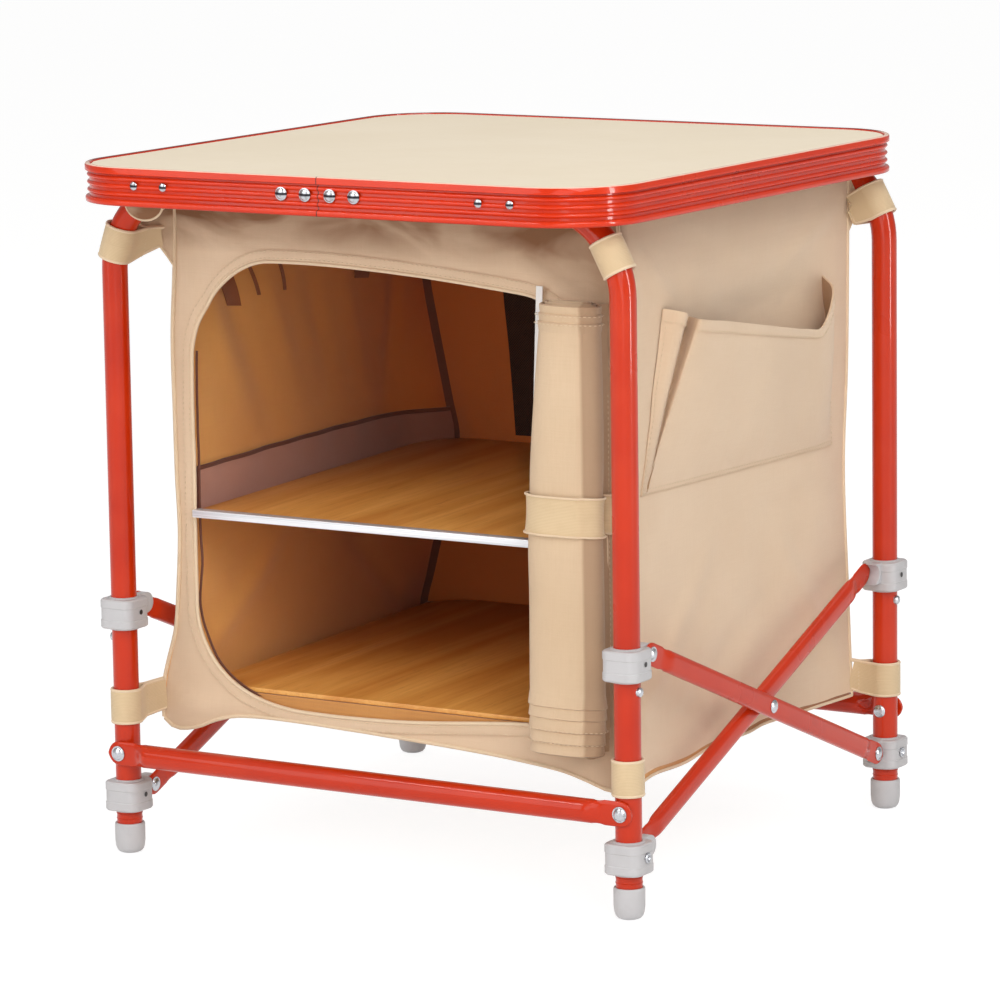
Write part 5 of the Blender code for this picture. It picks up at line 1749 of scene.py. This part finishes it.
            add_cloth(name, (20, 24), place, (0.10, 0.195), (0, gap, 0), self.palette.netting,
                      body="back_frame", thickness=0.0004)
        edge = Shape()
        for start, end in zip(self.net, self.net[1:]):
            line = [Vector(start).lerp(Vector(end), step / 12) for step in range(13)]
            points = [self.on_back(x, z, 0.0014) for x, z in line]
            edge.ribbon(points, Vector((1, 0, 1)).normalized(), 0.006, 0.0014)
        add_piece("netting_binding", edge, self.palette.webbing, "back_frame")

    def floor_point(self, along: float, back: float) -> Vector:
        """A point on the fabric floor, from left (0) to right (1) and from front (0) to back (1)."""
        form = self.form
        left, right = form.wall(Side.LEFT, back, 0, False), form.wall(Side.RIGHT, back, 0, False)
        place = left.lerp(right, along)
        front = follow(form.hem_front, place.x) + 0.0012
        rear = follow(form.hem_back, place.x) + 0.0006
        near, far = (
            form.corner(Side.LEFT, end, 0).z * (1 - along) + form.corner(Side.RIGHT, end, 0).z * along
            for end in End
        )
        place.z += (front - near) * (1 - back) + (rear - far) * back
        board = 0.1440 + (place.y + 0.160) * math.tan(self.slope) - 0.0052
        free_x = min(along, 1 - along) * (right.x - left.x) / 0.016
        free_y = min(back * form.depth / 0.0048, (1 - back) * form.depth / 0.010)
        place.z += (board - place.z) * smooth(min(free_x, free_y))
        near_front = max(1 - back * form.depth / 0.0055, 0.0)
        place.y += (0.0016 - self.front_push(Vector((place.x, form.front, front)))) * near_front
        return place

    def floor(self) -> None:
        """The fabric floor under the bottom board, let down to the walls' lower edges."""
        floor = add_cloth("floor_cloth", (80, 80), self.floor_point, (0.45, 0.42), (0, 0, -1),
                          self.palette.canvas, node="bag_floor", thickness=self.thin, squash=FOLDING,
                          back=self.palette.floor_lining)

    def piping(self) -> None:
        """Corded seams up the four corners and along the lower edges."""
        finish = self.palette.piping
        steps = [step / self.seam_steps for step in range(self.seam_steps + 1)]

        def uprights(end: End, aside: float, out: float, radius: float) -> list[tuple[list[Vector], float]]:
            """The cords up both corners of an end, a little beside them."""
            lines = []
            for side in Side:
                beside = Vector((side.value * aside, out, 0))
                lines.append(([self.form.corner(side, end, up) + beside for up in steps], radius))
            return lines

        hem = [self.rim_point(share * 0.25 * 0.9999) for share in steps]
        hem = [place - Vector((0, self.front_push(place) + 0.0004, 0)) for place in hem]
        add_cords("front_piping", [*uprights(End.FRONT, 0.0004, -0.0012, 0.0017), (hem, 0.0016)], finish)
        low = [self.back_point(share, 0) for share in steps]
        add_cords("back_piping", [*uprights(End.BACK, 0.0, 0.0004, 0.0016), (low, 0.0015)], finish,
                  body="back_frame")
        for side in Side:
            low = [self.form.wall(side, share, 0) + Vector((side.value * 0.0003, 0, 0)) for share in steps]
            add_cords(f"{side.word}_hem_piping", [(low, 0.0015)], finish, squash=FOLDING)

    def corner_binding(self) -> None:
        """Dark binding down the inside of both back corners."""
        shape = Shape()
        for side in Side:
            inside = Vector((-side.value * 0.0035, -0.0035, 0))
            ups = [0.02 + 0.96 * step / 60 for step in range(61)]
            points = [self.form.corner(side, End.BACK, up) + inside for up in ups]
            shape.ribbon(points, Vector((side.value, 1, 0)).normalized().cross(UP), 0.0095, 0.0010)
        add_piece("corner_binding", shape, self.palette.binding, "back_frame")

    def sling(self, side: Side) -> None:
        """The sling that carries the middle board, with its dark binding."""
        def place(along: float, up: float) -> Vector:
            """A point of the sling, from the lip under the board up the wall."""
            y = -0.1410 + 0.3655 * along
            z = self.shelf_z(y) - 0.0050
            share = min(up / 0.4, 1.0)
            if up >= 0.4:
                z += (follow(self.sling_top, y) - z) * (up - 0.4) / 0.6
            gap = 0.0030 + 0.0007 * math.sin(along * 40) * share * smooth((up - 0.5) * 3)
            x = self.form.on_wall(side, y, z).x - side.value * gap
            return Vector((x - side.value * 0.027 * (1 - share), y, z))

        sling = add_cloth(f"{side.word}_sling", (64, 20), place, (0.374, 0.066), (side.value, 0, -1),
                          self.palette.sling, node=f"shelf_sling_{side.word}", thickness=0.0010,
                          squash=FOLDING)
        edge = Shape()
        top = [place(step / 60, 1.0) - Vector((side.value * 0.0008, 0, 0)) for step in range(61)]
        edge.ribbon(top, UP, 0.0036, 0.0028)
        front = [place(0.0, 0.42 + 0.58 * step / 10) + Vector((0, -0.0005, 0)) for step in range(11)]
        edge.ribbon(front, Vector((0, 1, 0)), 0.0036, 0.0028)
        bound = add_piece(f"{side.word}_sling_binding", edge, self.palette.binding, squash=FOLDING)
        f"{side.word}_cloth"

    def tabs(self) -> None:
        """Small loops and tabs sewn to the inside of the left wall."""
        shape = Shape()
        for tab in WALL_TABS:
            def place(s: float, t: float, tab: tuple[Pair, ...] = tab) -> Vector:
                """A point of one tab on the wall's inner face."""
                high = Vector(tab[0]).lerp(Vector(tab[1]), s)
                low = Vector(tab[2]).lerp(Vector(tab[3]), s)
                y, z = low.lerp(high, t)
                x = self.form.on_wall(Side.LEFT, y, z).x + 0.0022 + 0.0012 * math.sin(math.pi * t)
                return Vector((x, y, z))

            shape.cloth((6, 8), place, (0.02, 0.026))
        shape.face_towards((1, 0, 0))
        add_piece("wall_tabs", shape, self.palette.tab, thickness=self.thin, squash=FOLDING)


@dataclass(frozen=True)
class RolledDoor:
    """The door: one sheet wound into a flat roll beside the mouth, and the tie round it."""

    palette: Palette
    low: float = 0.125
    high: float = 0.4955
    centre_y: float = -0.1860
    half_y: float = 0.0122
    turns: float = 2.6
    pitch: float = 0.0031
    fixed: float = 0.03
    tie_middle: float = 0.323
    tie_half: float = 0.0158
    left: tuple[Pair, ...] = ((0.125, 0.1418), (0.166, 0.1405), (0.250, 0.1412), (0.299, 0.1404),
                              (0.332, 0.1414), (0.399, 0.1461), (0.465, 0.1528), (0.4955, 0.1562))
    right: tuple[Pair, ...] = ((0.125, 0.2096), (0.166, 0.2130), (0.299, 0.2130), (0.399, 0.2136),
                               (0.465, 0.2124), (0.4955, 0.2115))

    def heights(self) -> list[float]:
        """Rows of the door as shares of its height, close together at its two hems."""
        rows = [self.low + 0.00095 * step for step in range(54)]
        rows += [rows[-1] + (0.470 - rows[-1]) * step / 26 for step in range(1, 26)]
        rows += [0.470 + (self.high - 0.470) * step / 28 for step in range(29)]
        return [(row - self.low) / (self.high - self.low) for row in rows]

    def swell(self, z: float) -> float:
        """How far the hems' folded edges stand out at a height."""
        if z < 0.1745:
            return 0.0006 + 0.0020 * (1 - (z - self.low) / 0.0099 % 1.0)
        if z > 0.4745:
            return 0.0004 + 0.0019 * (1 - (self.high - z) / 0.0070 % 1.0)
        return 0.0

    def section(self, angle: float, z: float, inset: float) -> Vector:
        """A point on one layer of the roll.

        Args:
            angle: Way round, in radians.
            z: Height.
            inset: How deep the layer lies.

        Returns:
            The point.
        """
        left, right = follow(self.left, z), follow(self.right, z)
        left, right = follow(self.left, z), follow(self.right, z)
        waist = 1 - 0.10 * math.exp(-(((z - self.tie_middle) / 0.022) ** 2))
        half_x = max(((right - left) / 2 - inset) * (1 - (1 - waist) * 0.35), 0.004)
        half_y = max((self.half_y - inset * 0.92) * waist, 0.0014)
        dent = noise.noise(Vector((math.cos(angle) * 1.3, math.sin(angle) * 1.3, z * 7 + 4))) * 0.0011
        outside = inset < self.pitch
        outward = dent + (self.swell(z) if outside else 0.0)
        x = (left + right) / 2 + rounded(math.cos(angle), 0.78) * (half_x + outward * 0.6)
        under = 0.0026 * smooth((x - 0.1978) / 0.0016) * smooth(-math.sin(angle) * 5) if outside else 0.0
        y = self.centre_y + rounded(math.sin(angle), 0.86) * (half_y + outward - under)
        return Vector((x, y, z))

    def door_point(self, along: float, up: float) -> Vector:
        """A point of the wound sheet, from its fixed edge to its free one."""
        z = self.low + (self.high - self.low) * up
        share = max(along - self.fixed, 0.0) / (1 - self.fixed)
        angle = math.radians(55) - 2 * math.pi * self.turns * share
        slip = 0.0030 * self.turns * share
        z += slip * (smooth((z - 0.47) / 0.02) * 0.5 - smooth((0.15 - z) / 0.02) * 0.4)
        point = self.section(angle, z, self.pitch * self.turns * share)
        if along < self.fixed:
            return Vector((point.x + 0.006, -0.1662, z)).lerp(point, along / self.fixed)
        return point

    def door(self) -> None:
        """The wound sheet, from the panel at its right round and round to its free edge."""
        rows = self.heights()
        height = self.high - self.low
        shape = Shape()
        shape.cloth((150, len(rows) - 1), self.door_point, (0.42, height), rows)
        shape.face_towards((0, -1, 0))
        area = shape.area()
        door = add_piece("door_cloth", shape, self.palette.door, node="door_roll", thickness=0.0011,
                         squash=PUSHED_ASIDE)
        turns = [math.radians(50 - 300 * step / 50) for step in range(51)]
        rings = [[self.section(turn, z, -0.0009) for turn in turns] for z in (0.1345, 0.1455, 0.4805, 0.4875)]
        stitches = add_stitches("door_stitches", rings, self.palette.thread, (0.0042, 0.0028),
                                squash=PUSHED_ASIDE)

    def tie(self) -> None:
        """The band round the roll's waist, bound along both edges and sewn to the panel."""
        middle, half = self.tie_middle, self.tie_half

        def ring(height: float, grow: float) -> list[Vector]:
            """The way round the roll at a height, from the panel and back to it."""
            turns = [math.radians(62 - 330 * step / 60) for step in range(61)]
            return [Vector((0.2150, -0.1664, height)), *(self.section(turn, height, -grow) for turn in turns)]

        def place(along: float, up: float) -> Vector:
            """A point of the band."""
            off = 2 * up - 1
            points = ring(middle + half * off, 0.0010 + 0.0006 * abs(off) ** 3)
            at = along * (len(points) - 1)
            low = min(int(at), len(points) - 2)
            return points[low].lerp(points[low + 1], at - low)

        band = add_cloth("tie_band", (61, 10), place, (0.185, 2 * half), (0, -1, 0), self.palette.webbing,
                         node="door_tie", thickness=0.0012, squash=PUSHED_ASIDE)
        edges = [(ring(middle + way * half, 0.0019), 0.0010) for way in (-1, 1)]
        bound = add_cords("tie_edges", edges, self.palette.piping, 6, squash=PUSHED_ASIDE)
        length_of(ring(middle, 0.001))

    def zip_tape(self) -> None:
        """The white tape that shows above the door at the mouth's right."""
        shape = Shape()
        low, high = Vector((0.1425, -0.1705, 0.413)), Vector((0.1465, -0.1705, 0.507))
        shape.ribbon([low.lerp(high, step / 12) for step in range(13)], Vector((1, 0, 0)), 0.0062, 0.0010)
        add_piece("zip_tape", shape, self.palette.tape, squash=PUSHED_ASIDE)


@dataclass(frozen=True)
class Pocket:
    """The patch pocket on the right wall: gussets at both ends and a hemmed, gaping mouth.

    Each station gives the share along, Y and Z of the lower end, Y and Z of the upper end, how far the
    upper end stands off as a share of stand, and 1 in a pleat.
    """

    palette: Palette
    form: BagForm = BagForm()
    stand: float = 0.0225
    stations: tuple[tuple[float, ...], ...] = (
        (0.00, -0.1360, 0.3333, -0.0968, 0.4836, 0.0, 1.0),
        (0.06, -0.1300, 0.3337, -0.0830, 0.4790, 0.60, 1.0),
        (0.11, -0.1290, 0.3338, -0.0590, 0.4730, 0.10, 1.0),
        (0.17, -0.1240, 0.3340, -0.0755, 0.4735, 1.0, 1.0),
        (0.30, -0.0700, 0.3330, -0.0300, 0.4665, 1.05, 0.3),
        (0.55, 0.0450, 0.3310, 0.0500, 0.4530, 1.05, 0.0),
        (0.80, 0.1450, 0.3300, 0.1130, 0.4430, 1.0, 0.0),
        (0.87, 0.1700, 0.3295, 0.1400, 0.4425, 1.0, 0.1),
        (0.94, 0.1900, 0.3290, 0.1660, 0.4690, 0.85, 0.3),
        (1.00, 0.2080, 0.3285, 0.1850, 0.4800, 0.0, 0.5),
    )

    def place(self, along: float, up: float) -> Vector:
        """A point of the pocket."""
        low_y, low_z, high_y, high_z, off, pleat = (
            follow([(row[0], row[column]) for row in self.stations], along) for column in range(1, 7))
        off = max(off, 0.0)
        y, z = low_y + (high_y - low_y) * up, low_z + (high_z - low_z) * up
        body = 1 - max(1 - up, 0.0) ** 1.7
        tip = max(up - 0.11, 0.0) / 0.89
        rise = body + (tip - body) * min(max(pleat, 0.0), 1.0)
        wall, plain = (self.form.on_wall(Side.RIGHT, y, z, wrinkled) for wrinkled in (True, False))
        base = wall.lerp(plain, smooth(2.5 * off * rise))
        soft = wrinkle(Vector((0, y, z)), 31.0, 0.8) * smooth(up / 0.15) * smooth(off) * (1 - pleat)
        return Vector((base.x + 0.0012 + self.stand * off * rise + soft, y, z))

    def build(self) -> None:
        """Make the pocket, its hem and its stitches."""
        shape = Shape()
        shape.cloth((110, 36), self.place, (0.40, 0.150))
        shape.face_towards((1, 0, 0))
        area = shape.area()
        pocket = add_piece("pocket_cloth", shape, self.palette.canvas, node="side_pocket", thickness=0.0010,
                           squash=FOLDING, back=self.palette.pocket_inside)

        def hem(along: float, up: float) -> Vector:
            """A point of the mouth's hem."""
            return self.place(along, 0.930 + 0.072 * up) + Vector((0.0009, 0, 0.0002))

        turned = add_cloth("pocket_hem", (110, 4), hem, (0.40, 0.011), (1, 0, 0), self.palette.canvas,
                           thickness=0.0008, squash=FOLDING)
        shares = [step / 80 for step in range(81)]
        over, on = Vector((0.0013, 0, 0)), Vector((0.0005, 0, 0))
        runs = [[self.place(s, 0.940) + over for s in shares]]
        runs += [[self.place(0.012 + 0.976 * s, inset) + on for s in shares] for inset in (0.006, 0.030)]
        runs += [[self.place(end, s) + on for s in shares] for end in (0.012, 0.988)]
        stitches = add_stitches("pocket_stitches", runs, self.palette.thread, squash=FOLDING)


@dataclass(frozen=True)
class Straps:
    """The webbing straps that tie the cupboard's corners to the legs."""

    palette: Palette
    tubes: TubeFrame
    form: BagForm = BagForm()
    width: float = 0.029
    thickness: float = 0.0020
    slack: float = 0.0006
    lower_left: float = 0.129
    lower_right: float = 0.117
    upper_left: float = 0.529
    upper_right: float = 0.540

    def height(self, side: Side, level: Level) -> float:
        """Height of a strap's middle."""
        return getattr(self, f"{level.word}_{side.word}")

    def build(self) -> None:
        """Make all eight straps and the ears that they are sewn to."""
        for end, side in CORNERS:
            for level in Level:
                self.strap(end, side, level)
            self.ear(end, side)
        self.flap()

    def strap(self, end: End, side: Side, level: Level) -> None:
        """Make one strap: a loop round the leg, its tail, its bound edges and its bar stitches.

        Args:
            end: Front or back.
            side: Left or right.
            level: Lower or upper.
        """
        z = self.height(side, level)
        upper = level is Level.UPPER
        above = max(0.0, z - self.tubes.bend_start)
        lean = math.asin(above / self.tubes.bend_radius)
        extra = self.slack if lean else 0.0
        inward = self.tubes.bend_radius * (1 - math.cos(lean)) + extra
        centre = Vector((side.value * (self.tubes.leg_x - inward), self.tubes.leg(end, side).y, z))
        corner = self.form.corner(side, end, max(self.form.share_up(z), 0.0))
        tail = (corner - centre).to_2d()
        turn = Matrix.Translation(centre) @ Matrix.Rotation(-side.value * lean, 4, "Y")
        radius = self.tubes.radius + self.slack + self.thickness / 2 + extra
        points = self.loop(tail * (0.72 if upper and end is End.FRONT else 1.0), radius)
        ends = [1.0, 0.35, *[0.0] * (len(points) - 4), 0.35, 1.0]
        widths = [self.width - (0.011 if upper else 0.002) * share for share in ends]
        rise = 0.009 if upper and side is Side.LEFT and end is End.FRONT else 0.003
        points = [point + UP * (rise * share) for point, share in zip(points, ends)]
        shape = Shape()
        wide = (turn.to_3x3() @ UP).normalized()
        shape.ribbon([turn @ point for point in points], wide, widths, self.thickness)
        place = f"{end.word}_{side.word}"
        name = f"{level.word}_band"
        band = add_piece(f"{name}_{place}", shape, self.palette.webbing, end.frame,
                         f"{level.word}_strap_{place}")
        edges = []
        for way in (-1, 1):
            lifts = [UP * (way * (row / 2 - 0.0006)) for row in widths]
            edges.append(([turn @ (point + lift) for point, lift in zip(points, lifts)], 0.0014))
        bound = add_cords(f"{name}_edges_{place}", edges, self.palette.piping, 6, body=end.frame)
        along = tail.normalized()
        spots = [along * reach + Vector((-along.y, along.x)) * (0.0024 * way)
                 for reach in (radius + 0.0065, radius + 0.0105) for way in (-1, 1)]
        runs = [[turn @ Vector((*spot, height)) for height in (-0.011, 0.011)] for spot in spots]
        stitches = add_stitches(f"{name}_stitches_{place}", runs, self.palette.thread, (0.0036, 0.0026),
                                body=end.frame)
        length_of(points)
        f"{end.word}_leg_tube"

    def loop(self, tail: Vector, radius: float) -> list[Vector]:
        """The strap's middle line in the loop's own plane, from the bag round the leg and back."""
        angle = math.atan2(tail.y, tail.x)
        along = Vector((math.cos(angle), math.sin(angle)))
        across = Vector((-math.sin(angle), math.cos(angle)))
        open_angle = 44
        length = tail.length - 0.0005
        start, end = math.degrees(angle) + open_angle, math.degrees(angle) + 360 - open_angle
        points = [along * length + across * 0.0011, along * (radius * 1.75) + across * 0.0016]
        points += [Vector(point) for point in outline_arc((0, 0), radius, start, end, 30)]
        points += [along * (radius * 1.75) - across * 0.0016, along * length - across * 0.0011]
        return [point.to_3d() for point in points]

    def ear(self, end: End, side: Side) -> None:
        """Make the triangular flap that joins the upper strap to the bag's corner."""
        form = self.form
        z = self.height(side, Level.UPPER)
        low, high = z - 0.026, form.top - 0.003
        lift, fullness = (0.026, 2.4) if (end, side) == (End.FRONT, Side.LEFT) else (0.008, 1.2)
        tip = form.corner(side, end, form.share_up(z)).lerp(self.tubes.leg(end, side, z + lift), 0.62)

        def place(along: float, up: float) -> Vector:
            """A point of the flap, from the bag's corner towards the leg."""
            edge = form.corner(side, end, form.share_up(low + (high - low) * up))
            bow = 0.0020 * math.sin(math.pi * up) * along
            reach = along * (1 - abs(2 * up - 1) ** fullness)
            return edge.lerp(tip, reach) + Vector((0, end.value * (0.0014 + bow), 0))

        shape = Shape()
        shape.cloth((14, 24), place, (0.03, 0.055))
        shape.face_towards((0, end.value, 0))
        area = shape.area()
        corner = f"{end.word}_{side.word}"
        ear = add_piece(f"corner_ear_{corner}", shape, self.palette.canvas, end.frame, thickness=0.0012)
        edge = [place(1.0, step / 24) for step in range(25)]
        bound = add_cords(f"ear_piping_{corner}", [(edge, 0.0011)], self.palette.piping, 6, body=end.frame)
        f"{end.word}_leg_tube"

    def flap(self) -> None:
        """Make the half-round flap that hangs over the bend at the front left."""
        width, drop = 0.038, 0.0135
        outline = [(width / 2 * x, drop * z) for x, z in outline_arc((0, 0), 1.0, 180, 360, 24)]
        y = self.tubes.front_y - 0.0128
        axes = Matrix(((1, 0, 0, -0.2075), (0, 0, -1, y), (0, 1, 0, 0.5640), (0, 0, 0, 1)))
        shape = Shape()
        shape.plate(outline, axes, 0.0014, 0.0004)
        flap = add_piece("bend_flap", shape, self.palette.canvas)
        edge = [axes @ Vector((x, z, 0)) for x, z in outline]
        bound = add_cords("bend_flap_piping", [(edge, 0.0011)], self.palette.piping, 6)


# The boards


@dataclass(frozen=True)
class Boards:
    """The middle board with its edge channel, and the bottom board."""

    palette: Palette
    half: float = 0.2035
    thickness: float = 0.004
    back: float = 0.2255
    corner: float = 0.045
    slope: float = math.radians(1.6)
    middle: Pair = (-0.171, 0.2948)
    lower: Pair = (-0.160, 0.1440)

    def sloped(self, front: Pair) -> Matrix:
        """The frame of a board whose upper front edge is at a depth and a height."""
        return Matrix.Translation((0, *front)) @ Matrix.Rotation(self.slope, 4, "X")

    def board(self, name: str, body: str, front: Pair, inset: float) -> None:
        """Make one board, rounded at its back corners.

        Args:
            name: The new piece's name.
            body: The body that it rides on, and the CAD node's name.
            front: Y and Z of the front edge of its upper face.
            inset: Distance from there to the board's own edge.
        """
        depth = (self.back - front[0]) / math.cos(self.slope)
        outline = [(-self.half, inset), (self.half, inset)]
        outline += outline_arc((self.half - self.corner, depth - self.corner), self.corner, 0, 90, 14)
        outline += outline_arc((self.corner - self.half, depth - self.corner), self.corner, 90, 180, 14)
        matrix = self.sloped(front) @ Matrix.Translation((0, 0, -self.thickness / 2))
        shape = Shape()
        shape.plate(outline, matrix, self.thickness, 0.0006)
        add_piece(name, shape, self.palette.wood, body, body)

    def build(self) -> None:
        """Make both boards and the channel on the middle one."""
        wall = 0.0013
        self.board("middle_board", "mid_shelf", self.middle, wall)
        self.board("lower_board", "bottom_shelf", self.lower, 0.0)
        low, high, flange = -self.thickness - wall, wall, 0.009
        outline = [(0.0004, low), (flange, low), (flange, low + 0.001), (0.001, low + 0.001),
                   (0.001, high - 0.001), (flange, high - 0.001), (flange, high), (0.0004, high),
                   (0.0, high - 0.0004), (0.0, low + 0.0004)]
        shape = Shape()
        shape.plate(outline, self.sloped(self.middle) @ SIDEWAYS, 2 * self.half, 0.0002)
        add_piece("middle_board_edge", shape, self.palette.trim, "mid_shelf", "mid_shelf_edge")


# The studio


@dataclass(frozen=True)
class Lamp:
    """One soft lamp; one with a height is a strip that only shows as a glint and lights nothing else."""

    name: str
    place: tuple[float, float, float]
    power: float
    size: float
    height: float = 0.0

    def build(self, target: Vector) -> None:
        """Add the lamp, aimed at a target."""
        data = bpy.data.lights.new(self.name, "AREA")
        data.energy = self.power
        data.size = self.size
        lamp = bpy.data.objects.new(self.name, data)
        aim = target - Vector(self.place)
        lamp.matrix_world = facing(Vector(self.place), -aim)
        if self.height:
            data.shape = "RECTANGLE"
            data.size_y = self.height
            lamp.visible_diffuse = False
            across = Vector((-aim.y, aim.x, 0)).normalized()
            axes = Matrix((across, aim.cross(across).normalized(), -aim.normalized()))
            lamp.matrix_world = axes.transposed().to_4x4()
            lamp.matrix_world.translation = self.place
        bpy.context.scene.collection.objects.link(lamp)


LAMPS: tuple[Lamp, ...] = (
    Lamp("key_light", (2.6, -2.2, 2.6), 81, 2.4),
    Lamp("front_light", (-1.6, -3.4, 1.5), 45, 2.6),
    Lamp("top_light", (0.0, 0.6, 3.4), 32, 2.8),
    Lamp("mouth_light", (1.5, -3.0, 0.9), 12, 1.4),
    Lamp("right_glint", (3.3, 0.0, 1.0), 62, 0.44, 2.2),
    Lamp("high_glint", (1.4, -1.7, 2.6), 18, 0.6, 0.6),
    Lamp("left_glint", (-1.1, -1.9, 2.6), 22, 1.6, 0.3),
)


@dataclass(frozen=True)
class Studio:
    """The pale floor, the soft light and the camera of the photograph."""

    camera_place: tuple[float, float, float] = (2.24494, -3.64989, 1.00646)
    yaw: float = 0.55123
    pitch: float = 0.16471
    roll: float = -0.01473
    lens: float = 180.98
    target: tuple[float, float, float] = (0.0, 0.0, 0.3)

    def camera(self) -> None:
        """Put the camera where the photograph was taken from."""
        level = Vector((math.cos(self.yaw), math.sin(self.yaw), 0))
        flat = math.cos(self.pitch)
        forward = Vector((-math.sin(self.yaw) * flat, math.cos(self.yaw) * flat, -math.sin(self.pitch)))
        upward = level.cross(forward)
        right = math.cos(self.roll) * level + math.sin(self.roll) * upward
        upward = math.cos(self.roll) * upward - math.sin(self.roll) * level
        matrix = Matrix((right, upward, -forward)).transposed().to_4x4()
        matrix.translation = self.camera_place
        data = bpy.data.cameras.new("photo_camera")
        data.lens = self.lens
        data.sensor_width = 36
        data.clip_end = 60
        camera = bpy.data.objects.new("photo_camera", data)
        camera.matrix_world = matrix
        bpy.context.scene.collection.objects.link(camera)
        bpy.context.scene.camera = camera

    def light(self) -> None:
        """Light the cupboard softly, brighter from the right."""
        for lamp in LAMPS:
            lamp.build(Vector(self.target))
        world = bpy.data.worlds.new("pale_room")
        bpy.context.scene.world = world
        world.use_nodes = True
        tree = world.node_tree
        shown = tree.nodes["Background"]
        shown.inputs["Color"].default_value = (1, 1, 1, 1)
        shown.inputs["Strength"].default_value = 1.0
        room = wire(tree, "ShaderNodeBackground", {"Color": (1, 0.985, 0.965, 1), "Strength": 0.42})
        seen = seen_rays(tree, ("Is Transmission Ray",))
        mixed = wire(tree, "ShaderNodeMixShader", {0: seen, 1: room, 2: shown.outputs[0]})
        tree.links.new(mixed, tree.nodes["World Output"].inputs["Surface"])

    def floor(self) -> None:
        """Lay the pale floor, which keeps the cupboard's shadow."""
        mesh = bpy.data.meshes.new("studio_floor")
        bm = bmesh.new()
        bmesh.ops.create_grid(bm, x_segments=4, y_segments=4, size=14)
        bmesh.ops.translate(bm, verts=bm.verts, vec=(0, 0, -0.0004))
        bm.to_mesh(mesh)
        bm.free()
        floor = bpy.data.objects.new("studio_floor", mesh)
        bpy.context.scene.collection.objects.link(floor)
        paper = Shader("studio_paper", 0.9)
        paper.dress(Base_Color=(0.92, 0.92, 0.92, 1))
        glow = paper.node("ShaderNodeEmission", {"Strength": 1.21})
        share = paper.sum("MULTIPLY", seen_rays(paper.tree, ("Is Glossy Ray", "Is Transmission Ray")), 0.72)
        mixed = paper.node("ShaderNodeMixShader", {0: share, 1: paper.surface.outputs[0], 2: glow})
        paper.tree.links.new(mixed, paper.tree.nodes["Material Output"].inputs["Surface"])
        mesh.materials.append(paper.material)


def seen_rays(tree: bpy.types.NodeTree, kinds: Sequence[str]) -> Socket:
    """1 for rays straight from the camera, and for some other kinds of ray.

    Args:
        tree: The node tree that gets the nodes.
        kinds: Names of the other kinds.

    Returns:
        The value's socket.
    """
    path = tree.nodes.new("ShaderNodeLightPath")
    total = path.outputs["Is Camera Ray"]
    for name in kinds:
        total = wire(tree, "ShaderNodeMath", {0: total, 1: path.outputs[name]}, operation="MAXIMUM")
    return total


def main() -> None:
    """Build the whole cupboard in order."""
    logging.basicConfig(level=logging.INFO, format="%(message)s")
    bpy.context.scene.view_settings.view_transform = "Standard"
    palette = Palette()
    tubes = TubeFrame(palette)
    tubes.tubes()
    tubes.crossbars()
    tubes.caps_and_rivets()
    Braces(palette).build()
    Collars(palette, tubes).build()
    TableTop(palette).build()
    cupboard = Cupboard(palette)
    cupboard.mouth_trim()
    cupboard.piping()
    cupboard.corner_binding()
    cupboard.tabs()
    cupboard.front_panel()
    for side in Side:
        cupboard.side_wall(side)
        cupboard.sling(side)
    cupboard.back_panel()
    cupboard.floor()
    door = RolledDoor(palette)
    door.door()
    door.tie()
    door.zip_tape()
    Pocket(palette).build()
    Straps(palette, tubes).build()
    Boards(palette).build()
    studio = Studio()
    studio.camera()
    studio.light()
    studio.floor()
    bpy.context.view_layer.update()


if __name__ == "__main__":
    main()
